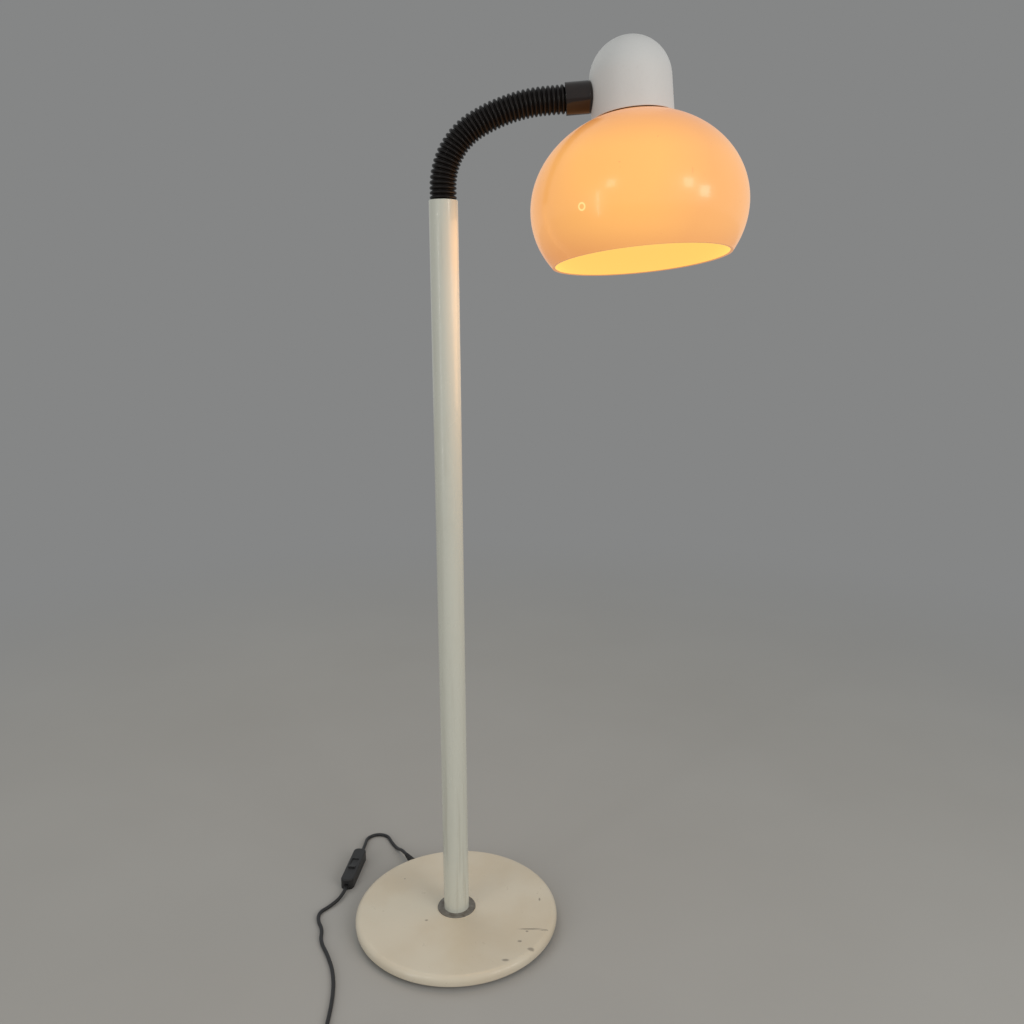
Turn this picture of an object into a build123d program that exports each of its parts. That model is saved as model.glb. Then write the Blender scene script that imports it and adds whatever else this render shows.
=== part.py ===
from build123d import *
import os
from math import asin, cos, pi, radians, sin, sqrt, tan

# Floor lamp in millimetres: weighted round base, straight pole, ribbed gooseneck and a mushroom shade.
# The origin is the centre of the base's underside on the floor, +Z is up, and the neck leans out along +X.

# ---------------------------------------------------------------- driving sizes

seat = 0.05             # radial clearance of a screwed or pushed fit
slip = 0.3              # gap between parts that pass each other
end_gap = 0.2           # gap at the end of a running fit

# base
base_radius = 140
base_height = 20
rim_rise = 5            # from the floor to the lowest edge of the cover
rim_round = 8           # radius of the cover's upper edge
rim_curl = 4            # radius of its lower edge
cover_wall = 1.2
plate_radius = base_radius - 8
plate_thick = 1.6
pad_radius = plate_radius - 7
pad_thick = 2
weight_radius = base_radius - 22
weight_drop = 1.8       # the hub of the weight stands this far above its top
hub_radius = 30
recess_radius = 24      # pocket under the hub for the bolt's head
recess_height = 6.9
screw_radius = 2
screw_head = 3.6
screw_length = 9
screw_circle = 90
screw_count = 3
screw_turn = 60         # from the cord's exit to the first screw
lip_wall = 0.8          # thin raised lip of the cover round the foot washer
lip_height = 0.8
washer_radius = 26.1    # foot washer under the pole
washer_thick = 1.8

# pole
pole_radius = 17.25
pole_wall = 1.5
pole_top = 961
pole_edge = 0.9
plug_height = 20
bolt_radius = 4
bolt_hex = 13
bolt_head = 5.3
bolt_bite = 16          # length of bolt screwed into the foot plug
disc_radius = 8
disc_thick = 1.3
bush_height = 30
anchor_hex = 24
anchor_height = 8

# mains lead
cable_radius = 2.5
wire_offset = 11.5      # distance of the lead from the pole's axis at its foot
wire_hole = 3
channel_width = 8
channel_height = 11.6
exit_angle = 122        # direction of the cord's exit, from +X
exit_height = 11.5
exit_hole = 4.1
foot_bend = 8           # radius where the lead turns up into the pole
lead_low = 6.6          # height of the lead in the bolt pocket
grip_inner_radius = 5
grip_inner_thick = 2
grip_inner_back = 3     # the inner flange lies this far inside the rim
grip_outer_radius = 6
grip_outer_thick = 1.5
grip_tail_length = 20.5
grip_tail_radius = 5
grip_tip_radius = 3.1

# neck, measured along its centreline from the pole's top
neck_straight = 14
neck_low_radius = 80
neck_low_turn = 60
neck_high_radius = 194
neck_end_straight = 20
arm_rise = 4.4          # the arm still climbs by this angle at its end
rib_count = 38
crest_radius = 16
valley_radius = 13.8
sleeve_bore = 12.6
break_ribs = [0, 5, 12, 19, 26, 33, rib_count]   # the neck bends where these ribs end
conduit_radius = 8.5
conduit_bore = 3.1
conduit_tail = 40       # length of conduit inside the pole
lead_tail = 45          # the neck's lead reaches this far down the pole
ball_radius = 9
flare_radius = 6.2
cable_gap = 1           # each piece of lead stops this far from a bend's centre

# swivel
ferrule_radius = 11
ferrule_tail = 16       # length of ferrule inside the neck
ferrule_socket = 14
collar_inset = 1
collar_length = 11
swivel_depth = 26
stud_radius = 5
stud_bore = 3.3
spring_radius = 9
spring_thick = 1.5
lock_hex = 15
lock_height = 6
stud_spare = 2

# cuff and head, heights along the head's own axis from the arm's axis
cuff_radius = 18
cuff_length = 29
cuff_edge = 1
head_turn = 6           # the head is swivelled so that its mouth faces the front
saddle_gap = 0.1
dome_radius = 47.5
dome_wall = 1.2
dome_bottom = -28.5
dome_shoulder = 14.5
strip_width = 16
strip_thick = 2
strip_bend = 8
strip_inset = 2         # leg of the bracket, from the dome's outer face
strip_foot = -12
strip_reach = 12
arm_height = 18
nipple_radius = 5
nipple_bore = 3.3
nipple_low = 8
nipple_high = 26
nut_hex = 14
nut_height = 4
lead_hole = 3
lead_hole_at = -24
lead_radius = 2
lead_top = 36
lead_bend = 8
holder_radius = 20
holder_round = 6
holder_cavity = 17
holder_roof = 8
body_bottom = -42
body_roof = 6
shell_wall = 0.6
shell_radius = 13.9
shell_bottom = -40
contact_radius = 4
contact_thick = 1
shade_radius = 126
shade_depth = 106.5     # half height of the shade's ellipse
shade_centre = -128.5
shade_rim = -188
shade_wall = 3
land_radius = 29
land_gap = 0.6
ring_radius = 28
ring_height = 4
bulb_radius = 30
bulb_centre = -82
bulb_neck = 13
bulb_wall = 0.8
bulb_blend = 40         # angle up the globe where the neck leaves it
cap_radius = 13.1
cap_bottom = -28
groove_depth = 0.8
groove_pitch = 3.6
groove_count = 4

# inline switch, lying on the floor along its own axis
switch_x = -163
switch_y = 108.5
switch_lean = 84.2      # direction of its axis, from +X
switch_length = 82
switch_width = 19
switch_split = 7
switch_height = 16
switch_end = 7          # radius of the corners seen from above
switch_edge = 2.5
switch_wall = 2.5
cavity_length = 60
boot_length = 4
boot_radius = 4
boot_height = 5
rocker_length = 24
rocker_width = 10
rocker_top = 3.4
rocker_dip = 1.4
rocker_below = 2.6
rocker_axis = 13.2
rocker_tilt = 8
pin_radius = 1.2
pin_reach = 1.2
lug_length = 6
lug_below = 3
switch_screw_at = 35
switch_screw_radius = 1.25
switch_screw_head = 2.4
switch_screw_sink = 1.6
switch_screw_length = 11.5

# put-away coil and plug
coil_x = -104
coil_y = -248
coil_radius = 39.2
coil_pitch = 5.6
coil_loops = 4          # in each of its two layers
coil_tuck = 1.4         # the climbing half turn is drawn in by this much
plug_run = 32           # straight cord between the coil and the plug
plug_length = 36
plug_width = 26
plug_taper = 12
plug_neck = 5
plug_edge = 3
plug_pin_radius = 2
plug_pin_length = 19
plug_pin_pitch = 18.6

# ---------------------------------------------------------------- helpers

os.makedirs("parts", exist_ok=True)


def save(piece, name):
    piece.part.label = name
    export_step(piece.part, "parts/" + name + ".step")


def corner_radii(points):
    """As large an arc at each corner of a cord's route as its two runs allow."""
    spots = [Vector(p) for p in points]
    radii = []
    for before, here, after in zip(spots, spots[1:], spots[2:]):
        turn = (here - before).get_angle(after - here)
        shorter = min((here - before).length, (after - here).length)
        radii.append(0.45 * shorter / tan(radians(turn) / 2))
    return radii


def cord_tube(name, points):
    """A round tube along a hand-picked route, its volume compared with its section times its length."""
    radii = corner_radii(points)
    with BuildPart() as tube:
        with BuildLine() as route:
            FilletPolyline(*points, radius=radii)
        with BuildSketch(Plane(origin=points[0], z_dir=Vector(points[1]) - Vector(points[0]))):
            Circle(cable_radius)
        sweep()
    length = route.wires()[0].length
    share = tube.part.volume / (pi * cable_radius ** 2 * length)
    print(name, "length", round(length, 1), "radii", [round(r) for r in radii], "volume share", round(share, 4))
    save(tube, name)


def ring(plane, outer, inner, thick):
    """A flat ring standing on a plane."""
    with BuildPart() as piece:
        with BuildSketch(plane):
            Circle(outer)
            Circle(inner, mode=Mode.SUBTRACT)
        extrude(amount=thick)
    return piece


def hex_nut(plane, across, inner, height):
    """A hexagonal nut standing on a plane."""
    with BuildPart() as piece:
        with BuildSketch(plane):
            RegularPolygon(across / 2, 6, major_radius=False)
            Circle(inner, mode=Mode.SUBTRACT)
        extrude(amount=height)
    return piece


# ---------------------------------------------------------------- base

plate_low = pad_thick
weight_low = plate_low + plate_thick
hub_top = base_height - cover_wall
weight_top = hub_top - weight_drop
recess_top = weight_low + recess_height
channel_top = weight_low + channel_height
exit_way = Vector(cos(radians(exit_angle)), sin(radians(exit_angle)), 0)
wire_x = wire_offset * exit_way.X
wire_y = wire_offset * exit_way.Y
lip_inner = washer_radius + end_gap
curl_inner = base_radius - rim_curl - cover_wall


def exit_plane(reach):
    """Plane square to the cord's exit, this far out from the pole's axis."""
    return Plane(origin=exit_way * reach + Vector(0, 0, exit_height), x_dir=(0, 0, 1), z_dir=exit_way)


with BuildPart() as base_cover:
    with BuildSketch(Plane.XZ):
        with BuildLine():
            FilletPolyline(
                (curl_inner, rim_rise + cover_wall),
                (base_radius - cover_wall, rim_rise + cover_wall),
                (base_radius - cover_wall, hub_top),
                (0, hub_top),
                radius=[rim_curl - cover_wall, rim_round - cover_wall],
            )
            Line((0, hub_top), (0, base_height))
            FilletPolyline(
                (0, base_height),
                (base_radius, base_height),
                (base_radius, rim_rise),
                (curl_inner, rim_rise),
                radius=[rim_round, rim_curl],
            )
            Line((curl_inner, rim_rise), (curl_inner, rim_rise + cover_wall))
        make_face()
    revolve(axis=Axis.Z)
    with BuildSketch(Plane.XY.offset(base_height)):
        Circle(lip_inner + lip_wall)
        Circle(lip_inner, mode=Mode.SUBTRACT)
    extrude(amount=lip_height)
    with BuildSketch(Plane.XY.offset(hub_top)):
        Circle(bolt_radius + slip)
        with Locations((wire_x, wire_y)):
            Circle(wire_hole)
    extrude(amount=cover_wall, mode=Mode.SUBTRACT)
    with BuildSketch(exit_plane(base_radius - rim_round)):
        Circle(exit_hole)
    extrude(amount=rim_round * 2, mode=Mode.SUBTRACT)
save(base_cover, "base_cover")

with BuildPart() as base_pad:
    with BuildSketch():
        Circle(pad_radius)
    extrude(amount=pad_thick)
save(base_pad, "base_pad")

with BuildPart() as base_plate:
    with BuildSketch(Plane.XY.offset(plate_low)):
        Circle(plate_radius)
    extrude(amount=plate_thick)
    with PolarLocations(screw_circle, screw_count, exit_angle + screw_turn):
        with Locations((0, 0, plate_low + plate_thick / 2)):
            Cone(screw_head + seat, screw_radius + seat, plate_thick, mode=Mode.SUBTRACT)
save(base_plate, "base_plate")

with BuildPart() as base_plate_screws:
    with PolarLocations(screw_circle, screw_count, exit_angle + screw_turn):
        with Locations((0, 0, plate_low + plate_thick / 2)):
            Cone(screw_head, screw_radius, plate_thick)
        with Locations((0, 0, weight_low + screw_length / 2)):
            Cylinder(screw_radius, screw_length)
save(base_plate_screws, "base_plate_screws")

with BuildPart() as base_weight:
    with BuildSketch(Plane.XY.offset(weight_low)):
        Circle(weight_radius)
    extrude(amount=weight_top - weight_low)
    with BuildSketch(Plane.XY.offset(weight_top)):
        Circle(hub_radius)
    extrude(amount=weight_drop)
    with BuildSketch(Plane.XY.offset(weight_low)):
        Circle(recess_radius)
    extrude(amount=recess_height, mode=Mode.SUBTRACT)
    with BuildSketch(Plane.XY.offset(weight_low)):
        Circle(bolt_radius + seat)
        with Locations((wire_x, wire_y)):
            Circle(wire_hole)
        with PolarLocations(screw_circle, screw_count, exit_angle + screw_turn):
            Circle(screw_radius + seat)
    extrude(amount=hub_top - weight_low, mode=Mode.SUBTRACT)
    with BuildSketch(Plane.XY.offset(weight_low).rotated((0, 0, exit_angle))):
        with Locations((disc_radius + slip, 0)):
            Rectangle(weight_radius, channel_width, align=(Align.MIN, Align.CENTER))
    extrude(amount=channel_height, mode=Mode.SUBTRACT)
save(base_weight, "base_weight")

# Bolt, its washer and the threaded plug that hold the pole to the weight.
pole_foot = base_height + washer_thick
pole_bore = pole_radius - pole_wall
disc_low = recess_top - disc_thick
bolt_low = disc_low - bolt_head

save(ring(Plane.XY.offset(disc_low), disc_radius, bolt_radius + seat, disc_thick), "bolt_washer")

with BuildPart() as pole_bolt:
    with BuildSketch(Plane.XY.offset(bolt_low)):
        RegularPolygon(bolt_hex / 2, 6, major_radius=False)
    extrude(amount=bolt_head)
    with BuildSketch(Plane.XY.offset(disc_low)):
        Circle(bolt_radius)
    extrude(amount=pole_foot + bolt_bite - disc_low)
save(pole_bolt, "pole_bolt")

with BuildPart() as foot_washer:
    with BuildSketch(Plane.XY.offset(base_height)):
        Circle(washer_radius)
        Circle(bolt_radius + seat, mode=Mode.SUBTRACT)
        with Locations((wire_x, wire_y)):
            Circle(wire_hole, mode=Mode.SUBTRACT)
    extrude(amount=washer_thick)
save(foot_washer, "foot_washer")

with BuildPart() as pole_foot_plug:
    with BuildSketch(Plane.XY.offset(pole_foot)):
        Circle(pole_bore - seat)
        Circle(bolt_radius + seat, mode=Mode.SUBTRACT)
        with Locations((wire_x, wire_y)):
            Circle(wire_hole, mode=Mode.SUBTRACT)
    extrude(amount=plug_height)
save(pole_foot_plug, "pole_foot_plug")

with BuildPart() as pole:
    with BuildSketch(Plane.XY.offset(pole_foot)):
        Circle(pole_radius)
        Circle(pole_bore, mode=Mode.SUBTRACT)
    extrude(amount=pole_top - pole_foot)
    fillet(pole.edges().group_by(Axis.Z)[-1].sort_by(SortBy.LENGTH)[-1], pole_edge)
save(pole, "pole")

bush_low = pole_top - bush_height
save(ring(Plane.XY.offset(bush_low), pole_bore - seat, conduit_radius + seat, bush_height), "pole_top_bush")
anchor_low = bush_low - anchor_height
anchor = hex_nut(Plane.XY.offset(anchor_low), anchor_hex, conduit_radius + seat, anchor_height)
save(anchor, "neck_anchor_nut")

# Moulded grip that holds the cord in the rim: inner flange, neck, outer flange and a tapered tail.
grip_inner = base_radius - grip_inner_back - grip_inner_thick
grip_shoulder = base_radius + grip_outer_thick
grip_tip = grip_shoulder + grip_tail_length

with BuildPart() as cord_grip:
    with BuildSketch(exit_plane(grip_inner)):
        Circle(grip_inner_radius)
    extrude(amount=grip_inner_thick)
    with BuildSketch(exit_plane(grip_inner)):
        Circle(exit_hole - seat)
    extrude(amount=grip_shoulder - grip_inner)
    with BuildSketch(exit_plane(base_radius)):
        Circle(grip_outer_radius)
    extrude(amount=grip_outer_thick)
    with BuildSketch(exit_plane(grip_shoulder)):
        Circle(grip_tail_radius)
    with BuildSketch(exit_plane(grip_tip)):
        Circle(grip_tip_radius)
    loft(ruled=True)
save(cord_grip, "cord_grip")


def lead_point(reach, height):
    """Point in the upright plane of the cord's exit."""
    return exit_way * reach + Vector(0, 0, height)


# Lead inside the base and the pole, from the grip to the neck's own lead.
lead_top_end = pole_top - lead_tail
lead_route = [
    lead_point(grip_inner, exit_height),
    lead_point(weight_radius - channel_width, exit_height),
    lead_point(weight_radius / 2, lead_low),
    lead_point(wire_offset, lead_low),
    lead_point(wire_offset, lead_top_end - 3 * lead_tail),
    lead_point(0, lead_top_end - lead_tail),
    lead_point(0, lead_top_end),
]
lead_bends = corner_radii(lead_route)
lead_bends[2] = foot_bend

with BuildPart() as base_cable:
    with BuildLine():
        FilletPolyline(*lead_route, radius=lead_bends)
    with BuildSketch(exit_plane(grip_inner)):
        Circle(cable_radius)
    sweep()
save(base_cable, "base_cable")

# ---------------------------------------------------------------- neck

lean_low = radians(neck_low_turn)
lean_end = radians(90 - arm_rise)
low_length = neck_low_radius * lean_low
high_length = neck_high_radius * (lean_end - lean_low)
neck_length = neck_straight + low_length + high_length + neck_end_straight
rib_pitch = neck_length / rib_count
bend_at = [rib * rib_pitch for rib in break_ribs]

# The head's pieces along the arm, from the neck's end.
dome_near = cuff_length
strip_at = dome_near + strip_inset
spring_at = strip_at + strip_thick
lock_at = spring_at + spring_thick
stud_end = lock_at + lock_height + stud_spare


def neck_plane(along):
    """Plane square to the neck's centreline, this far along it from the pole's top."""
    if along <= neck_straight:
        lean, x, z = 0, 0, pole_top + along
    elif along <= neck_straight + low_length:
        lean = (along - neck_straight) / neck_low_radius
        x = neck_low_radius * (1 - cos(lean))
        z = pole_top + neck_straight + neck_low_radius * sin(lean)
    else:
        past = along - neck_straight - low_length
        lean = min(lean_low + past / neck_high_radius, lean_end)
        extra = max(past - high_length, 0)
        x = neck_low_radius * (1 - cos(lean_low)) + neck_high_radius * (cos(lean_low) - cos(lean))
        z = pole_top + neck_straight + neck_low_radius * sin(lean_low)
        z += neck_high_radius * (sin(lean) - sin(lean_low)) + extra * cos(lean)
        x += extra * sin(lean)
    return Plane(origin=(x, 0, z), x_dir=(0, 1, 0), z_dir=(sin(lean), 0, cos(lean)))


def neck_steps(start, end):
    """Places along the neck from start to end, close enough to follow its curve."""
    count = max(round((end - start) / rib_pitch), 1)
    return [start + (end - start) * step / count for step in range(count + 1)]


# Where each rib's four circles lie, as shares of its pitch, with their radii.
rib_circles = [(0, valley_radius), (0.2, valley_radius), (0.45, crest_radius), (0.75, crest_radius)]

for number in range(len(break_ribs) - 1):
    first, last = break_ribs[number], break_ribs[number + 1]
    low, high = bend_at[number], bend_at[number + 1]
    circles = [((rib + share) * rib_pitch, radius) for rib in range(first, last) for share, radius in rib_circles]
    circles.append((high, valley_radius))

    with BuildPart() as sleeve:
        for along, radius in circles:
            with BuildSketch(neck_plane(along)):
                Circle(radius)
        loft(ruled=True)
        for along, radius in circles:
            with BuildSketch(neck_plane(along)):
                Circle(sleeve_bore)
        loft(ruled=True, mode=Mode.SUBTRACT)
    save(sleeve, f"neck_sleeve_{number}")

    # Ball-ended link of conduit: a socket on the ball below it and a ball in the link above it.
    at_foot = number == 0
    at_end = number == len(break_ribs) - 2
    link_low = -conduit_tail if at_foot else low
    link_high = neck_length - ferrule_tail + ferrule_socket if at_end else high
    with BuildPart() as link:
        for along in neck_steps(link_low, link_high):
            with BuildSketch(neck_plane(along)):
                Circle(conduit_radius)
        loft(ruled=True)
        if not at_end:
            with Locations(neck_plane(high)):
                Sphere(ball_radius)
        if not at_foot:
            with Locations(neck_plane(low)):
                Sphere(ball_radius + slip, mode=Mode.SUBTRACT)
        for along in neck_steps(link_low, link_high):
            with BuildSketch(neck_plane(along)):
                Circle(conduit_bore)
        loft(ruled=True, mode=Mode.SUBTRACT)
        if not at_end:
            with BuildSketch(neck_plane(high)):
                Circle(conduit_bore)
            with BuildSketch(neck_plane(high).offset(ball_radius + slip)):
                Circle(flare_radius)
            loft(ruled=True, mode=Mode.SUBTRACT)
    save(link, f"neck_conduit_{number}")

    lead_low_end = -lead_tail if at_foot else low + cable_gap
    lead_high_end = neck_length + stud_end if at_end else high - cable_gap
    with BuildPart() as lead:
        for along in neck_steps(lead_low_end, lead_high_end):
            with BuildSketch(neck_plane(along)):
                Circle(cable_radius)
        loft(ruled=True)
    save(lead, f"neck_cable_{number}")

# ---------------------------------------------------------------- swivel

arm_plane = neck_plane(neck_length)
arm_way = arm_plane.z_dir
ferrule_end = swivel_depth - end_gap

with BuildPart() as end_ferrule:
    with BuildSketch(arm_plane.offset(-ferrule_tail)):
        Circle(ferrule_radius)
    extrude(amount=ferrule_tail + ferrule_end)
    with BuildSketch(arm_plane.offset(-collar_inset - collar_length)):
        Circle(sleeve_bore - seat)
    extrude(amount=collar_length)
    with BuildSketch(arm_plane.offset(ferrule_end)):
        Circle(stud_radius)
    extrude(amount=stud_end - ferrule_end)
    with BuildSketch(arm_plane.offset(-ferrule_tail)):
        Circle(conduit_radius + seat)
    extrude(amount=ferrule_socket, mode=Mode.SUBTRACT)
    with BuildSketch(arm_plane.offset(-ferrule_tail)):
        Circle(stud_bore)
    extrude(amount=ferrule_tail + stud_end, mode=Mode.SUBTRACT)
save(end_ferrule, "end_ferrule")

save(ring(arm_plane.offset(spring_at), spring_radius, stud_radius + seat, spring_thick), "friction_washer")
save(hex_nut(arm_plane.offset(lock_at), lock_hex, stud_radius + seat, lock_height), "ferrule_nut")

# ---------------------------------------------------------------- head

arm_up = Vector(-sin(radians(arm_rise)), 0, cos(radians(arm_rise)))
head_up = arm_up * cos(radians(head_turn)) + Vector(0, sin(radians(head_turn)), 0)
head_centre = arm_plane.origin + arm_way * (cuff_length + dome_radius)
head_plane = Plane(origin=head_centre, x_dir=arm_way, z_dir=head_up)
head_side = Plane(origin=head_centre, x_dir=arm_way, z_dir=arm_way.cross(head_up))
head_axis = Axis(head_centre, head_up)


def head_ring(outer, inner, low, high):
    """A ring about the head's axis between two heights."""
    return ring(head_plane.offset(low), outer, inner, high - low)


with BuildPart() as cuff:
    with BuildSketch(arm_plane.offset(end_gap)):
        Circle(cuff_radius)
    extrude(amount=dome_near + cuff_edge + cuff_radius / 2)
    fillet(cuff.edges().sort_by(Axis(arm_plane.origin, arm_way))[0], cuff_edge)
    with BuildSketch(head_plane.offset(-dome_radius)):
        Circle(dome_radius + saddle_gap)
    extrude(amount=2 * dome_radius, mode=Mode.SUBTRACT)
    with BuildSketch(arm_plane):
        Circle(ferrule_radius + seat)
    extrude(amount=swivel_depth, mode=Mode.SUBTRACT)
    with BuildSketch(arm_plane):
        Circle(stud_radius + seat)
    extrude(amount=dome_near + cuff_radius, mode=Mode.SUBTRACT)
save(cuff, "cuff")

dome_inner = dome_radius - dome_wall
with BuildPart() as dome_cap:
    with BuildSketch(head_side):
        with BuildLine():
            Line((dome_inner, dome_bottom), (dome_radius, dome_bottom))
            Line((dome_radius, dome_bottom), (dome_radius, dome_shoulder))
            CenterArc((0, dome_shoulder), dome_radius, 0, 90)
            Line((0, dome_shoulder + dome_radius), (0, dome_shoulder + dome_inner))
            CenterArc((0, dome_shoulder), dome_inner, 0, 90)
            Line((dome_inner, dome_shoulder), (dome_inner, dome_bottom))
        make_face()
    revolve(axis=head_axis)
    with BuildSketch(arm_plane.offset(dome_near - cuff_edge)):
        Circle(stud_radius + seat)
    extrude(amount=strip_inset + cuff_edge, mode=Mode.SUBTRACT)
save(dome_cap, "dome_cap")

leg_outer = strip_inset - dome_radius
arm_top = arm_height + strip_thick
with BuildPart() as holder_bracket:
    with BuildSketch(head_side):
        with BuildLine():
            FilletPolyline(
                (leg_outer, strip_foot), (leg_outer, arm_top), (strip_reach, arm_top), radius=strip_bend
            )
            Line((strip_reach, arm_top), (strip_reach, arm_height))
            FilletPolyline(
                (strip_reach, arm_height),
                (leg_outer + strip_thick, arm_height),
                (leg_outer + strip_thick, strip_foot),
                radius=strip_bend - strip_thick,
            )
            Line((leg_outer + strip_thick, strip_foot), (leg_outer, strip_foot))
        make_face()
    extrude(amount=strip_width / 2, both=True)
    with BuildSketch(arm_plane.offset(dome_near)):
        Circle(stud_radius + seat)
    extrude(amount=strip_inset + 2 * strip_thick, mode=Mode.SUBTRACT)
    with BuildSketch(head_plane.offset(arm_height)):
        Circle(nipple_radius + seat)
        with Locations((lead_hole_at, 0)):
            Circle(lead_hole)
    extrude(amount=strip_thick, mode=Mode.SUBTRACT)
save(holder_bracket, "holder_bracket")

save(head_ring(nipple_radius, nipple_bore, nipple_low, nipple_high), "holder_nipple")
save(hex_nut(head_plane.offset(arm_top), nut_hex, nipple_radius + seat, nut_height), "nipple_nut")

# Leads from the stud over the bracket's arm and down the nipple.
lead_start = stud_end - cuff_length - dome_radius + cable_gap
lead_way = [(lead_start, 0), (lead_hole_at, 0), (lead_hole_at, lead_top), (0, lead_top), (0, nipple_low)]
with BuildPart() as head_leads:
    with BuildLine(head_side):
        FilletPolyline(*lead_way, radius=lead_bend)
    with BuildSketch(arm_plane.offset(stud_end + cable_gap)):
        Circle(lead_radius)
    sweep()
save(head_leads, "head_leads")

with BuildPart() as holder_cap:
    with BuildSketch(head_plane):
        Circle(holder_radius)
    extrude(amount=arm_height)
    fillet(holder_cap.edges().sort_by(head_axis)[-1], holder_round)
    with BuildSketch(head_plane):
        Circle(holder_cavity)
    extrude(amount=arm_height - holder_roof, mode=Mode.SUBTRACT)
    with BuildSketch(head_plane):
        Circle(nipple_radius + seat)
    extrude(amount=arm_height, mode=Mode.SUBTRACT)
save(holder_cap, "holder_cap")

with BuildPart() as holder_body:
    with BuildSketch(head_plane.offset(body_bottom)):
        Circle(holder_radius)
    extrude(amount=-body_bottom)
    with BuildSketch(head_plane.offset(body_bottom)):
        Circle(shell_radius + seat)
    extrude(amount=-body_bottom - body_roof, mode=Mode.SUBTRACT)
save(holder_body, "holder_body")

save(head_ring(shell_radius, shell_radius - shell_wall, shell_bottom, -body_roof), "holder_screw_shell")

with BuildPart() as holder_contact:
    with BuildSketch(head_plane.offset(-body_roof - contact_thick)):
        Circle(contact_radius)
    extrude(amount=contact_thick)
save(holder_contact, "holder_contact")


def ellipse_height(reach, across, depth):
    """Height of the shade's upper half ellipse at a distance from the head's axis."""
    return shade_centre + depth * sqrt(1 - (reach / across) ** 2)


def ellipse_angle(height, depth):
    """Angle round the ellipse, in degrees, at which it has this height."""
    return asin((height - shade_centre) / depth) * 180 / pi


shade_inner = shade_radius - shade_wall
shade_inner_depth = shade_depth - shade_wall
land_top = ellipse_height(land_radius, shade_radius, shade_depth)
land_bottom = ellipse_height(land_radius, shade_inner, shade_inner_depth)
land_hole = holder_radius + land_gap

with BuildPart() as shade:
    with BuildSketch(head_side):
        with BuildLine():
            outer_low = ellipse_angle(shade_rim, shade_depth)
            outer_high = ellipse_angle(land_top, shade_depth)
            inner_low = ellipse_angle(shade_rim, shade_inner_depth)
            inner_high = ellipse_angle(land_bottom, shade_inner_depth)
            outside = EllipticalCenterArc(
                (0, shade_centre), shade_radius, shade_depth, outer_low, arc_size=outer_high - outer_low
            )
            inside = EllipticalCenterArc(
                (0, shade_centre), shade_inner, shade_inner_depth, inner_low, arc_size=inner_high - inner_low
            )
            Line(outside @ 0, inside @ 0)
            Polyline(outside @ 1, (land_hole, land_top), (land_hole, land_bottom), inside @ 1)
        make_face()
    revolve(axis=head_axis)
save(shade, "shade")

save(head_ring(ring_radius, holder_radius + seat, land_top, land_top + ring_height), "shade_ring_upper")
save(head_ring(ring_radius, holder_radius + seat, land_bottom - ring_height, land_bottom), "shade_ring_lower")


def bulb_outline(globe, throat):
    """Half outline of the bulb: globe, straight flank that leaves it as a tangent, and neck."""
    blend_x = globe * cos(radians(bulb_blend))
    blend_y = bulb_centre + globe * sin(radians(bulb_blend))
    rise = (blend_x - throat) / tan(radians(bulb_blend))
    return blend_x, blend_y, blend_y + rise


with BuildPart() as lamp_glass:
    with BuildSketch(head_side):
        for globe, throat, cut in (
            (bulb_radius, bulb_neck, Mode.ADD),
            (bulb_radius - bulb_wall, bulb_neck - bulb_wall, Mode.SUBTRACT),
        ):
            blend_x, blend_y, neck_y = bulb_outline(globe, throat)
            with BuildLine():
                CenterArc((0, bulb_centre), globe, -90, 90 + bulb_blend)
                Polyline(
                    (blend_x, blend_y),
                    (throat, neck_y),
                    (throat, cap_bottom),
                    (0, cap_bottom),
                    (0, bulb_centre - globe),
                )
            make_face(mode=cut)
    revolve(axis=head_axis)
save(lamp_glass, "lamp_glass")

cap_top = -body_roof - contact_thick
with BuildPart() as lamp_base:
    with BuildSketch(head_plane.offset(cap_bottom)):
        Circle(cap_radius)
    extrude(amount=cap_top - cap_bottom)
    chamfer(lamp_base.edges().sort_by(head_axis)[-1], cap_radius / 3)
    with BuildSketch(head_side):
        for groove in range(groove_count):
            with Locations((cap_radius, cap_bottom + (groove + 1) * groove_pitch)):
                Circle(groove_depth)
    revolve(axis=head_axis, mode=Mode.SUBTRACT)
save(lamp_base, "lamp_base")

# ---------------------------------------------------------------- inline switch

switch_way = Vector(cos(radians(switch_lean)), sin(radians(switch_lean)), 0)
switch_plane = Plane(origin=(switch_x, switch_y, 0), x_dir=switch_way, z_dir=(0, 0, 1))
switch_front = Plane(origin=(switch_x, switch_y, 0), x_dir=switch_way, z_dir=switch_way.cross(Vector(0, 0, 1)))
boot_reach = switch_length / 2 + boot_length
inner_width = switch_width - 2 * switch_wall
roof_low = switch_height - switch_wall
tilt = radians(rocker_tilt)
window_length = 2 * (rocker_length / 2 * cos(tilt) + rocker_top * sin(tilt) + slip)
window_width = rocker_width + 2 * slip
switch_screws_at = [(-switch_screw_at, 0), (switch_screw_at, 0)]


def boot_plane(side):
    """Plane square to the switch's axis on one of its ends, facing outwards."""
    end = Vector(switch_x, switch_y, boot_height) + switch_way * (side * switch_length / 2)
    return Plane(origin=end, x_dir=(0, 0, 1), z_dir=switch_way * side)


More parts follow.
